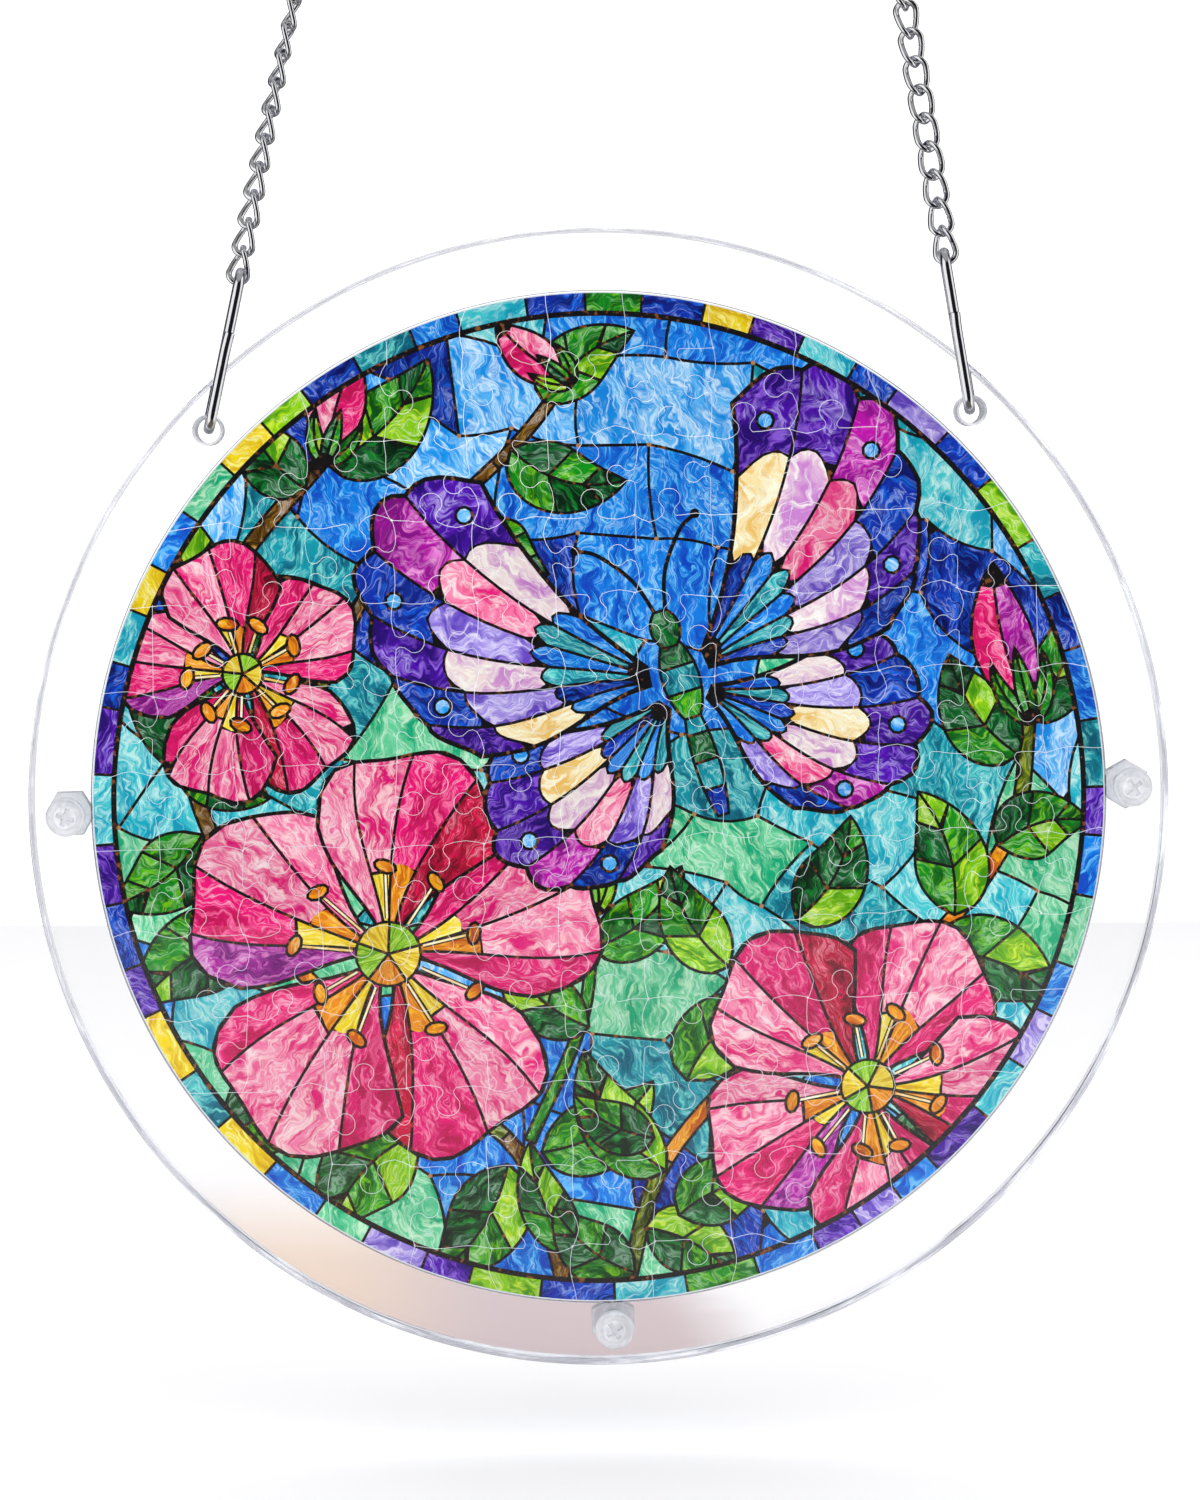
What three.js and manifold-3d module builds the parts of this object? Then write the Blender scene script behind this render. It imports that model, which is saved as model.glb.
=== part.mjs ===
// A clear acrylic suncatcher. Two round plates clamp a round jigsaw puzzle between them
// and hang on two wire connectors and two lengths of curb chain, each ending in a ring.
// Millimetres. +Z is up and the front faces -Y. The origin lies midway between the two
// places where hooks bear, inside the tops of the two rings.

import * as THREE from 'three';
import { mergeVertices } from 'three/addons/utils/BufferGeometryUtils.js';
import Module from 'manifold-3d';

const wasm = await Module();
wasm.setup();

// Plates and puzzle
const discRadius = 100;
const coverThickness = 3;
const trayThickness = 5;
const edgeBevel = 0.35;
const clearBorder = 11; // from the puzzle's edge to the plates' edge
const puzzleThickness = 2;
const puzzlePlay = 0.3; // round the puzzle, in its recess
const restGap = 0.3; // between pieces that rest on each other
const discTurn = 1.5; // degrees, counter-clockwise as seen from the front

// Hanging holes
const holeRadius = 2.2;
const holeBevel = 0.45;
const holeInset = 5.8; // from the plates' edge to a hole's centre
const holeSpread = 45; // degrees from the top of the disc to each hole

// Screws and nuts
const screwInset = 6.6; // from the plates' edge to a screw's centre
const shankRadius = 1.95;
const shankPlay = 0.3; // round the shank, in the plates
const headRadius = 3.4;
const headHeight = 2.1;
const headRound = 0.9; // how far the rounding of the head's rim reaches
const headRoundMiddle = 0.3; // where the rounding's middle lies, as a share of its reach
const crossLength = 3.8;
const crossWidth = 0.9;
const crossDepth = 1.2;
const nutAcrossFlats = 7.6;
const nutThickness = 3;
const nutPlay = 0.15; // round the shank, in the nut
const tailLength = 1.2; // of shank that stands out of the nut
const tailBevel = 0.4;
const screws = [
  { name: 'left', angle: 180, nutTurn: 0, crossTurn: 20 },
  { name: 'right', angle: 0, nutTurn: 32, crossTurn: 57 },
  { name: 'bottom', angle: 270, nutTurn: 30, crossTurn: 58 },
];

// Wire connectors
const connectorWire = 1.9;
const connectorLength = 29.5; // outside
const connectorCornerRadius = 3.1; // of the wire's middle line
const connectorPlay = 0.15; // more than the rest gap, between each leg and the plate it passes
const connectorSeamHeight = 3.2; // above the connector's middle, in its front leg

// Curb chain
const linkWire = 1.1;
const linkPitch = 4.95;
const linkWidth = 4.7; // outside
const linkTwist = 45; // degrees that each end turns from the link's middle
const linkGap = 0.1; // between wires that bear on each other
const seamWidth = 0.16; // of the butt seam in every bent wire

// End rings
const ringWire = 1.6;
const ringDiameter = 14; // outside

// Facets
const discSteps = 72;
const holeSteps = 20;
const screwSteps = 16;
const connectorSides = 8;
const connectorSteps = 40;
const linkSides = 6;
const linkSteps = 16;
const ringSides = 8;
const ringSteps = 18;
const mergeDistance = 1e-5;

// How each chain hangs. A lean is in degrees from upright, towards +X. A turn is in
// degrees about the chain's own line: 0 shows a link's broad side to the front, and a
// connector's edge.
const chains = [
  {
    side: 'left',
    holeAngle: 90 + holeSpread,
    lean: 11.55,
    connectorTurn: 4.5,
    links: 11,
    firstTurn: -45,
    lastTurn: -90,
    ringTurn: -12,
  },
  {
    side: 'right',
    holeAngle: 90 - holeSpread,
    lean: -9.25,
    connectorTurn: -6.5,
    links: 10,
    firstTurn: -38,
    lastTurn: 30,
    ringTurn: 56,
  },
];

const plateStack = coverThickness + restGap + trayThickness;
const frontFace = -plateStack / 2;
const backFace = plateStack / 2;
const recessDepth = puzzleThickness + restGap;
const radians = THREE.MathUtils.degToRad;

function solidOf(geometry) {
  geometry.deleteAttribute('normal');
  geometry.deleteAttribute('uv');
  const merged = mergeVertices(geometry, mergeDistance);
  const vertProperties = merged.attributes.position.array;
  const triVerts = Uint32Array.from(merged.index.array);
  return new wasm.Manifold(new wasm.Mesh({ numProp: 3, vertProperties, triVerts }));
}

function geometryOf(solid) {
  const mesh = solid.getMesh();
  const geometry = new THREE.BufferGeometry();
  geometry.setAttribute('position', new THREE.BufferAttribute(mesh.vertProperties, 3));
  geometry.setIndex(new THREE.BufferAttribute(mesh.triVerts, 1));
  return geometry;
}

function piece(name, geometry, look) {
  const material = new THREE.MeshStandardMaterial(look);
  const mesh = new THREE.Mesh(geometry, material);
  mesh.name = name;
  return mesh;
}

const clearAcrylic = { color: 0xf4f7fa, roughness: 0.05, metalness: 0, transparent: true, opacity: 0.35 };
const brightSteel = { color: 0xc9cbd0, roughness: 0.18, metalness: 1 };
const glossyPrint = { color: 0x2f8fb4, roughness: 0.25, metalness: 0 };

// Turned about the Y axis: each profile point is a radius and a depth along Y.
function turned(profile, steps) {
  const points = profile.map(([radius, depth]) => new THREE.Vector2(radius, depth));
  return new THREE.LatheGeometry(points, steps);
}

function onDisc(inset, angle) {
  const radius = discRadius - inset;
  return { x: radius * Math.cos(radians(angle)), z: radius * Math.sin(radians(angle)) };
}

// A straight drill through the whole stack, wider by the bevel at its two faces.
function drill(inset, angle, radius, bevel) {
  const over = restGap;
  const wide = radius + bevel + over;
  const profile = [
    [0, frontFace - over],
    [wide, frontFace - over],
    [radius, frontFace + bevel],
    [radius, backFace - bevel],
    [wide, backFace + over],
    [0, backFace + over],
  ];
  const { x, z } = onDisc(inset, angle);
  return solidOf(turned(profile, holeSteps).translate(x, 0, z));
}

function drilled(plate) {
  let solid = solidOf(plate);
  for (const { holeAngle } of chains) {
    solid = solid.subtract(drill(holeInset, holeAngle, holeRadius, holeBevel));
  }
  for (const { angle } of screws) {
    solid = solid.subtract(drill(screwInset, angle, shankRadius + shankPlay, 0));
  }
  return geometryOf(solid);
}

function frontCover() {
  const back = frontFace + coverThickness;
  const profile = [
    [0, frontFace],
    [discRadius - edgeBevel, frontFace],
    [discRadius, frontFace + edgeBevel],
    [discRadius, back - edgeBevel],
    [discRadius - edgeBevel, back],
    [0, back],
  ];
  return piece('front_cover', drilled(turned(profile, discSteps)), clearAcrylic);
}

function backTray() {
  const front = backFace - trayThickness;
  const recessRadius = discRadius - clearBorder + puzzlePlay;
  const profile = [
    [0, front + recessDepth],
    [recessRadius, front + recessDepth],
    [recessRadius, front],
    [discRadius - edgeBevel, front],
    [discRadius, front + edgeBevel],
    [discRadius, backFace - edgeBevel],
    [discRadius - edgeBevel, backFace],
    [0, backFace],
  ];
  return piece('back_tray', drilled(turned(profile, discSteps)), clearAcrylic);
}

function puzzle() {
  const radius = discRadius - clearBorder;
  const back = backFace - trayThickness + recessDepth - restGap;
  const front = back - puzzleThickness;
  const profile = [[0, front], [radius, front], [radius, back], [0, back]];
  return piece('puzzle', turned(profile, discSteps), glossyPrint);
}

function screw({ name, angle, crossTurn }) {
  const seat = frontFace - restGap;
  const top = seat - headHeight;
  const end = backFace + restGap + nutThickness + tailLength;
  const profile = [
    [0, top],
    [headRadius - headRound, top],
    [headRadius - headRound * headRoundMiddle, top + headRound * headRoundMiddle],
    [headRadius, top + headRound],
    [headRadius, seat],
    [shankRadius, seat],
    [shankRadius, end - tailBevel],
    [shankRadius - tailBevel, end],
    [0, end],
  ];
  let solid = solidOf(turned(profile, screwSteps));
  for (const turn of [crossTurn, crossTurn + 90]) {
    const slot = new THREE.BoxGeometry(crossLength, 2 * crossDepth, crossWidth);
    slot.rotateY(radians(turn)).translate(0, top, 0);
    solid = solid.subtract(solidOf(slot));
  }
  const mesh = piece(`screw_${name}`, geometryOf(solid), clearAcrylic);
  const { x, z } = onDisc(screwInset, angle);
  mesh.position.set(x, 0, z);
  return mesh;
}

function polygon(radius, sides) {
  const corners = [];
  for (let i = 0; i < sides; i++) {
    const angle = (2 * Math.PI * i) / sides;
    corners.push(new THREE.Vector2(radius * Math.cos(angle), radius * Math.sin(angle)));
  }
  return corners;
}

function nut({ name, angle, nutTurn }) {
  const outline = new THREE.Shape(polygon(nutAcrossFlats / 2 / Math.cos(Math.PI / 6), 6));
  outline.holes.push(new THREE.Path(polygon(shankRadius + nutPlay, screwSteps)));
  const geometry = new THREE.ExtrudeGeometry(outline, { depth: nutThickness, bevelEnabled: false });
  geometry.rotateX(-Math.PI / 2);
  const mesh = piece(`nut_${name}`, geometry, clearAcrylic);
  const { x, z } = onDisc(screwInset, angle);
  mesh.position.set(x, backFace + restGap, z);
  mesh.rotation.y = radians(nutTurn);
  return mesh;
}

// The middle line of a wire bent to an oblong with round corners, long along Z, with its
// seam in the side at +X. Its two ends are twisted about the long axis.
class BentOblong extends THREE.Curve {
  constructor({ halfLength, halfWidth, cornerRadius, twist, seamHeight }) {
    super();
    this.halfLength = halfLength;
    this.twist = radians(twist);
    this.flat = new THREE.Path().moveTo(halfWidth, seamHeight + seamWidth / 2);
    this.flat.lineTo(halfWidth, halfLength - cornerRadius);
    for (let corner = 0; corner < 4; corner++) {
      const from = (corner * Math.PI) / 2;
      const across = Math.sign(Math.cos(from + Math.PI / 4)) * (halfWidth - cornerRadius);
      const along = Math.sign(Math.sin(from + Math.PI / 4)) * (halfLength - cornerRadius);
      this.flat.absarc(across, along, cornerRadius, from, from + Math.PI / 2);
    }
    this.flat.lineTo(halfWidth, seamHeight - seamWidth / 2);
  }

  getPoint(t, target = new THREE.Vector3()) {
    const { x: across, y: along } = this.flat.getPoint(t);
    const angle = (-this.twist * along) / this.halfLength;
    return target.set(across * Math.cos(angle), across * Math.sin(angle), along);
  }
}

function bentWire(path, wire, sides, steps) {
  const section = new THREE.Shape(polygon(wire / 2, sides));
  return new THREE.ExtrudeGeometry(section, { steps, extrudePath: path, bevelEnabled: false });
}

const linkHalfLength = (linkPitch + linkWire + linkGap) / 2;
const linkHalfWidth = (linkWidth - linkWire) / 2;
const connectorHalfLength = (connectorLength - connectorWire) / 2;
const connectorHalfWidth = (plateStack + connectorWire) / 2 + restGap + connectorPlay;
const ringMiddleRadius = (ringDiameter - ringWire) / 2;

// The connector's lower bend runs round the hole's upper edges and bears on them. This is
// the height of the bend's lowest point over the hole's middle.
function connectorSeat() {
  const bendMiddle = connectorHalfWidth - connectorCornerRadius;
  const reach = connectorCornerRadius - connectorWire / 2 - restGap;
  const edges = [
    { depth: backFace - holeBevel, height: holeRadius },
    { depth: backFace, height: holeRadius + holeBevel },
  ];
  const limits = edges.map(
    ({ depth, height }) => height + Math.sqrt(reach ** 2 - (depth - bendMiddle) ** 2),
  );
  return Math.min(...limits) - connectorCornerRadius;
}

// Heights along a chain's own line, from the middle of its hole in the plates.
function chainHeights({ links }) {
  const connectorMiddle = connectorSeat() + connectorHalfLength;
  const connectorTop = connectorMiddle + connectorHalfLength;
  const firstLink = connectorTop - (connectorWire + linkWire) / 2 - linkGap + linkHalfLength;
  const lastTop = firstLink + (links - 1) * linkPitch + linkHalfLength;
  const ringMiddle = lastTop - (linkWire + ringWire) / 2 - linkGap + ringMiddleRadius;
  const hookSeat = ringMiddle + ringMiddleRadius - ringWire / 2;
  return { connectorMiddle, firstLink, ringMiddle, hookSeat };
}

function connector(side, height, turn) {
  const path = new BentOblong({
    halfLength: connectorHalfLength,
    halfWidth: connectorHalfWidth,
    cornerRadius: connectorCornerRadius,
    twist: 0,
    seamHeight: connectorSeamHeight,
  });
  const geometry = bentWire(path, connectorWire, connectorSides, connectorSteps);
  const mesh = piece(`connector_${side}`, geometry, brightSteel);
  mesh.position.z = height;
  mesh.rotation.z = radians(turn - 90);
  return mesh;
}

function link(side, number, height, turn) {
  const path = new BentOblong({
    halfLength: linkHalfLength,
    halfWidth: linkHalfWidth,
    cornerRadius: linkHalfWidth,
    twist: linkTwist,
    seamHeight: 0,
  });
  const name = `chain_${side}_link_${String(number).padStart(2, '0')}`;
  const mesh = piece(name, bentWire(path, linkWire, linkSides, linkSteps), brightSteel);
  mesh.position.z = height;
  mesh.rotation.z = radians(turn);
  return mesh;
}

function endRing(side, height, turn) {
  const geometry = new THREE.TorusGeometry(ringMiddleRadius, ringWire / 2, ringSides, ringSteps);
  geometry.rotateX(Math.PI / 2);
  const mesh = piece(`ring_${side}`, geometry, brightSteel);
  mesh.position.z = height;
  mesh.rotation.z = radians(turn);
  return mesh;
}

function chainBase({ holeAngle }) {
  const { x, z } = onDisc(holeInset, holeAngle + discTurn);
  return new THREE.Vector3(x, 0, z);
}

function hangingChain(chain) {
  const { side, lean, links, connectorTurn, firstTurn, lastTurn, ringTurn } = chain;
  const heights = chainHeights(chain);
  const group = new THREE.Group();
  group.add(connector(side, heights.connectorMiddle, connectorTurn));
  for (let i = 0; i < links; i++) {
    const turn = firstTurn + ((lastTurn - firstTurn) * i) / (links - 1);
    group.add(link(side, i + 1, heights.firstLink + i * linkPitch, turn));
  }
  group.add(endRing(side, heights.ringMiddle, ringTurn));
  group.position.copy(chainBase(chain));
  group.rotation.y = radians(lean);
  return group;
}

function hookSeat(chain) {
  const along = new THREE.Vector3(Math.sin(radians(chain.lean)), 0, Math.cos(radians(chain.lean)));
  return chainBase(chain).addScaledVector(along, chainHeights(chain).hookSeat);
}

const disc = new THREE.Group();
disc.add(frontCover(), backTray(), puzzle());
for (const spec of screws) disc.add(screw(spec), nut(spec));
disc.rotation.y = radians(-discTurn);

const suncatcher = new THREE.Group();
suncatcher.add(disc, ...chains.map(hangingChain));
const [leftSeat, rightSeat] = chains.map(hookSeat);
suncatcher.position.copy(leftSeat).add(rightSeat).multiplyScalar(-0.5);

export default suncatcher;
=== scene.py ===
import math
import random

import bpy
import numpy as np
from mathutils import Matrix, Vector
from mathutils.geometry import delaunay_2d_cdt


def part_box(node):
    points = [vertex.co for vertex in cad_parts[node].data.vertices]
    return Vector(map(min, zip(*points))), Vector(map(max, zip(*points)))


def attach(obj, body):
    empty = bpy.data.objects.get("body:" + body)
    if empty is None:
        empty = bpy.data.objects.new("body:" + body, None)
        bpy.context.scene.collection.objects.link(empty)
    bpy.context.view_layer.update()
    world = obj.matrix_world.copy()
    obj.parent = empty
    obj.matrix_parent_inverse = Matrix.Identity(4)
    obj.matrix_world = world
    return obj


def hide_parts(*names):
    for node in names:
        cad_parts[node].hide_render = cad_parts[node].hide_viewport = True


# Acrylic suncatcher. Metres, +Z up, the front faces -Y. Sizes in the dictionaries are in
# millimetres and angles in degrees, unless a note says otherwise.
mm = 0.001
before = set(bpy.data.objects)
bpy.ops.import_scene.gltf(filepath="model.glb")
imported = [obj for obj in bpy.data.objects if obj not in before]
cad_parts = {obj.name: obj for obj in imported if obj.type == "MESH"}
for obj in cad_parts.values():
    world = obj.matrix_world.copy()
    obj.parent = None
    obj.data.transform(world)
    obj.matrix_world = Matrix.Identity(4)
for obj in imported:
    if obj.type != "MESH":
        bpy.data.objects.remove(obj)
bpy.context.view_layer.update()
print("frame loaded")


def centreOf(node):
    low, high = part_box(node)
    return (Vector(low) + Vector(high)) / 2


discCentre = centreOf("puzzle")
discCentre.y = 0
discTurn = math.radians(1.5)  # counter-clockwise, as seen from the front


# Materials
class Signal:  # one output socket, with the sums a shader needs
    def __init__(self, tree, socket):
        self.tree = tree
        self.socket = socket

    def node(self, kind, settings=None, values=None, output=0):
        node = self.tree.nodes.new(kind)
        for key, value in (settings or {}).items():
            setattr(node, key, value)
        for key, value in (values or {}).items():
            if isinstance(value, Signal):
                self.tree.links.new(value.socket, node.inputs[key])
            else:
                node.inputs[key].default_value = value
        return Signal(self.tree, node.outputs[output])

    def calc(self, operation, *values):
        return self.node("ShaderNodeMath", {"operation": operation}, dict(enumerate(values)))

    def __add__(self, other):
        return self.calc("ADD", self, other)

    def __sub__(self, other):
        return self.calc("SUBTRACT", self, other)

    def __mul__(self, other):
        return self.calc("MULTIPLY", self, other)

    def __pow__(self, other):
        return self.calc("POWER", self, other)

    def __radd__(self, other):
        return self.calc("ADD", other, self)

    def __rsub__(self, other):
        return self.calc("SUBTRACT", other, self)

    def __abs__(self):
        return self.calc("ABSOLUTE", self)

    def between(self, low, high):  # 0 below low, 1 above high, smooth in the middle
        settings = {"interpolation_type": "SMOOTHSTEP"}
        values = {"Value": self, "From Min": low, "From Max": high}
        return self.node("ShaderNodeMapRange", settings, values)

    def window(self, low, rise, fall, high):  # 1 from rise to fall, 0 outside low and high
        return self.between(low, rise) * (1 - self.between(fall, high))

    def noise(self, scale, detail=3, roughness=0.5, distortion=0.0, output=0):
        values = {"Vector": self, "Scale": scale, "Detail": detail}
        values.update({"Roughness": roughness, "Distortion": distortion})
        return self.node("ShaderNodeTexNoise", None, values, output)

    def vector(self, operation, other):
        return self.node("ShaderNodeVectorMath", {"operation": operation}, {0: self, 1: other})

    def scaled(self, *factors):
        return self.vector("MULTIPLY", factors)

    def axes(self):
        split = self.node("ShaderNodeSeparateXYZ", None, {0: self}).socket.node
        return [Signal(self.tree, split.outputs[axis]) for axis in "XYZ"]

    def blend(self, first, second):  # the signal is the share of the second colour
        values = {0: self, 6: first, 7: second}
        return self.node("ShaderNodeMix", {"data_type": "RGBA"}, values, 2)

    def bumped(self, strength, distance):  # a normal from the signal as a height
        values = {"Strength": strength, "Distance": distance, "Height": self}
        return self.node("ShaderNodeBump", None, values)


def newMaterial(name):
    material = bpy.data.materials.new(name)
    material.use_nodes = True
    tree = material.node_tree
    tree.nodes.clear()
    output = tree.nodes.new("ShaderNodeOutputMaterial")
    return material, Signal(tree, output.inputs["Surface"])


def finish(surface, shader):
    surface.tree.links.new(shader.socket, surface.socket)


def plastic(surface, values):
    return surface.node("ShaderNodeBsdfPrincipled", None, values)


def placeOf(surface):
    return surface.node("ShaderNodeTexCoord", output="Object")


def attributeOf(surface, name, output="Fac"):
    return surface.node("ShaderNodeAttribute", {"attribute_name": name}, output=output)


def rayIs(surface, kind):
    return surface.node("ShaderNodeLightPath", output=kind)


def milky(surface, place, glass, look):  # cloudy plastic over the clear one, by the look's share
    cloud = place.scaled(*look["cloudScale"]).noise(1.0, 4, 0.6).between(0.44, 0.6)
    body = plastic(surface, {
        "Base Color": cloud.blend(*look["cloudTones"]),
        "Roughness": look["cloudRough"],
    })
    share = cloud * look["cloudMilk"] + look["milk"]
    if "core" in look:  # milkier near the axis
        reach = attributeOf(surface, "reach")
        share = share + (1 - reach.between(*look["core"])) * look["coreMilk"]
    return surface.node("ShaderNodeMixShader", None, {0: share, 1: glass, 2: body})


def clearPlastic(name, look):
    material, surface = newMaterial(name)
    place = placeOf(surface)
    film = place.noise(look["filmScale"], 4, 0.6)
    scuffs = place.scaled(1, 1, 0.12).noise(look["scuffScale"], 2)
    height = film * 0.7 + scuffs * 0.3
    glass = plastic(surface, {
        "Base Color": look["tint"],
        "Roughness": look["rough"] + film.between(0.35, 0.8) * look["haze"],
        "IOR": look["ior"],
        "Transmission Weight": 1.0,
        "Normal": height.bumped(look["bump"], 0.0001),
    })
    if "milk" in look:
        glass = milky(surface, place, glass, look)
    # Lamplight and scattered light pass straight through, hardly tinted.
    passing = surface.node("ShaderNodeBsdfTransparent", None, {"Color": look["shade"]})
    shadow = rayIs(surface, "Is Shadow Ray")
    share = shadow.calc("MAXIMUM", shadow, rayIs(surface, "Is Diffuse Ray"))
    finish(surface, surface.node("ShaderNodeMixShader", None, {0: share, 1: glass, 2: passing}))
    return material


acrylicLook = {
    "tint": (1, 1, 1, 1),
    "shade": (0.94, 0.95, 0.96, 1),
    "rough": 0.0,
    "haze": 0.02,
    "ior": 1.49,
    "filmScale": 18,
    "scuffScale": 240,
    "bump": 0.02,
}
nylonLook = {
    "tint": (0.93, 0.935, 0.96, 1),
    "shade": (0.9, 0.9, 0.92, 1),
    "rough": 0.04,
    "haze": 0.12,
    "ior": 1.53,
    "filmScale": 420,
    "scuffScale": 1500,
    "bump": 0.1,
    "milk": 0.35,
    "cloudScale": (260, 260, 260),
    "cloudTones": ((0.7, 0.705, 0.72, 1), (0.84, 0.845, 0.86, 1)),
    "cloudRough": 0.3,
    "cloudMilk": 0.06,
    "core": (1.8, 2.1),  # from the axis, in millimetres
    "coreMilk": 0.3,
}
rimLook = {
    **acrylicLook,
    "milk": 0.5,
    "cloudScale": (45, 900, 45),
    "cloudTones": ((0.38, 0.38, 0.44, 1), (0.92, 0.92, 0.95, 1)),
    "cloudRough": 0.3,
    "cloudMilk": 0.35,
}
drilledLook = {
    **acrylicLook,
    "rough": 0.25,
    "milk": 0.6,
    "cloudScale": (500, 500, 500),
    "cloudTones": ((0.5, 0.5, 0.53, 1), (0.66, 0.66, 0.69, 1)),
    "cloudRough": 0.45,
    "cloudMilk": 0.15,
}
chromeLook = {
    "bright": (0.86, 0.865, 0.88, 1),
    "worn": (0.6, 0.6, 0.62, 1),
    "rough": 0.05,
    "scratch": 0.12,
    "patchScale": 270,
    "scratchScale": 2700,
    "bump": 0.12,
}


def chrome(name, look):
    material, surface = newMaterial(name)
    place = placeOf(surface)
    patches = place.noise(look["patchScale"], 4, 0.6).between(0.45, 0.75)
    scratches = place.scaled(1, 1, 0.1).noise(look["scratchScale"], 2, 0.7)
    worn = scratches.between(0.55, 0.7) * patches
    finish(surface, plastic(surface, {
        "Base Color": (worn * 0.6 + patches * 0.12).blend(look["bright"], look["worn"]),
        "Metallic": 1.0,
        "Roughness": look["rough"] + worn * look["scratch"],
        "Normal": scratches.bumped(look["bump"], 0.00005),
    }))
    return material


acrylic = clearPlastic("clearAcrylic", acrylicLook)
rimPlastic = clearPlastic("polishedRim", rimLook)
drilledPlastic = clearPlastic("drilledHoles", drilledLook)
nylon = clearPlastic("clearNylon", nylonLook)
wireChrome = chrome("wireChrome", chromeLook)
chainChrome = chrome("chainChrome", {**chromeLook, "rough": 0.06, "scratch": 0.16})
print("clear plastics and chrome ready")


# Modelling helpers
def startPiece(name):
    bpy.context.object.name = name
    bpy.context.object.data.name = name
    return bpy.context.object


def deselectAll():
    if bpy.context.object and bpy.context.object.mode == "EDIT":
        bpy.ops.object.mode_set(mode="OBJECT")
    bpy.ops.object.select_all(action="DESELECT")


def makeActive(piece):
    deselectAll()
    piece.select_set(True)
    bpy.context.view_layer.objects.active = piece


def applyPlace(piece):
    makeActive(piece)
    bpy.ops.object.transform_apply(location=True, rotation=True, scale=True)


def editWhere(piece, domain, test):  # edit mode, with only the elements that pass the test
    makeActive(piece)
    domains = ("vertices", "edges", "polygons")
    for kind in domains:
        group = getattr(piece.data, kind)
        group.foreach_set("select", [False] * len(group))
    bpy.context.tool_settings.mesh_select_mode = [kind == domain for kind in domains]
    for element in getattr(piece.data, domain):
        element.select = test(element)
    bpy.ops.object.mode_set(mode="EDIT")


def leaveEdit():
    bpy.ops.object.mode_set(mode="OBJECT")


def editAll(piece):
    makeActive(piece)
    bpy.ops.object.mode_set(mode="EDIT")
    bpy.ops.mesh.select_all(action="SELECT")


def applyModifier(piece, kind, settings):
    makeActive(piece)
    modifier = piece.modifiers.new(kind.title(), kind)
    for key, value in settings.items():
        setattr(modifier, key, value)
    bpy.ops.object.modifier_apply(modifier=modifier.name)


def booleanWith(piece, cutter, operation="DIFFERENCE"):
    applyModifier(piece, "BOOLEAN", {"object": cutter, "operation": operation, "solver": "EXACT"})
    bpy.data.objects.remove(cutter)


def addTube(name, radius, depth, place, sides):  # a cylinder that lies along Y
    deselectAll()
    bpy.ops.mesh.primitive_cylinder_add(
        vertices=sides, radius=radius, depth=depth, location=place, rotation=(math.pi / 2, 0, 0)
    )
    piece = startPiece(name)
    applyPlace(piece)
    return piece


def spun(name, profile, place, steps):  # profile points are (radius, y), from axis to axis
    mesh = bpy.data.meshes.new(name)
    points = [(place[0] + radius, place[1] + y, place[2]) for radius, y in profile]
    mesh.from_pydata(points, [(i, i + 1) for i in range(len(points) - 1)], [])
    piece = bpy.data.objects.new(name, mesh)
    bpy.context.collection.objects.link(piece)
    editAll(piece)
    bpy.ops.mesh.spin(steps=steps, angle=2 * math.pi, center=place, axis=(0, 1, 0))
    bpy.ops.mesh.select_all(action="SELECT")
    bpy.ops.mesh.remove_doubles(threshold=1e-6)
    bpy.ops.mesh.normals_make_consistent(inside=False)
    leaveEdit()
    return piece


def smoothed(piece, angle):
    makeActive(piece)
    bpy.ops.object.shade_smooth_by_angle(angle=math.radians(angle))


def dress(piece, nodes, slot, *materials):
    piece.data.materials.clear()
    for material in materials:
        piece.data.materials.append(material)
    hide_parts(*nodes)
    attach(piece, "root")


# The two plates
plate = {
    "radius": 100,
    "coverThickness": 3,
    "trayThickness": 5,
    "recessRadius": 89.3,
    "recessDepth": 2.3,
    "bevel": 0.6,
    "bevelSteps": 4,
    "sides": 256,
    "holeAngles": (135, 45),
    "holeRing": 94.2,  # from the disc's middle to the hanging holes
    "holeRadius": 2.2,
    "holeBevel": 0.45,
    "boreRadius": 2.25,
    "boreSides": 48,
    "flat": 0.99,  # a face whose normal has a larger y part lies flat
    "holeReach": 3.4,  # from a hanging hole's centre, past its countersink
}


def hangingHole(angle):
    turn = math.radians(angle) + discTurn
    reach = plate["holeRing"] * mm
    return discCentre + Vector((reach * math.cos(turn), 0, reach * math.sin(turn)))


hangingHoles = [hangingHole(angle) for angle in plate["holeAngles"]]


def flatDistance(first, second):  # as seen from the front
    return math.hypot(first.x - second.x, first.z - second.z)


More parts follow.
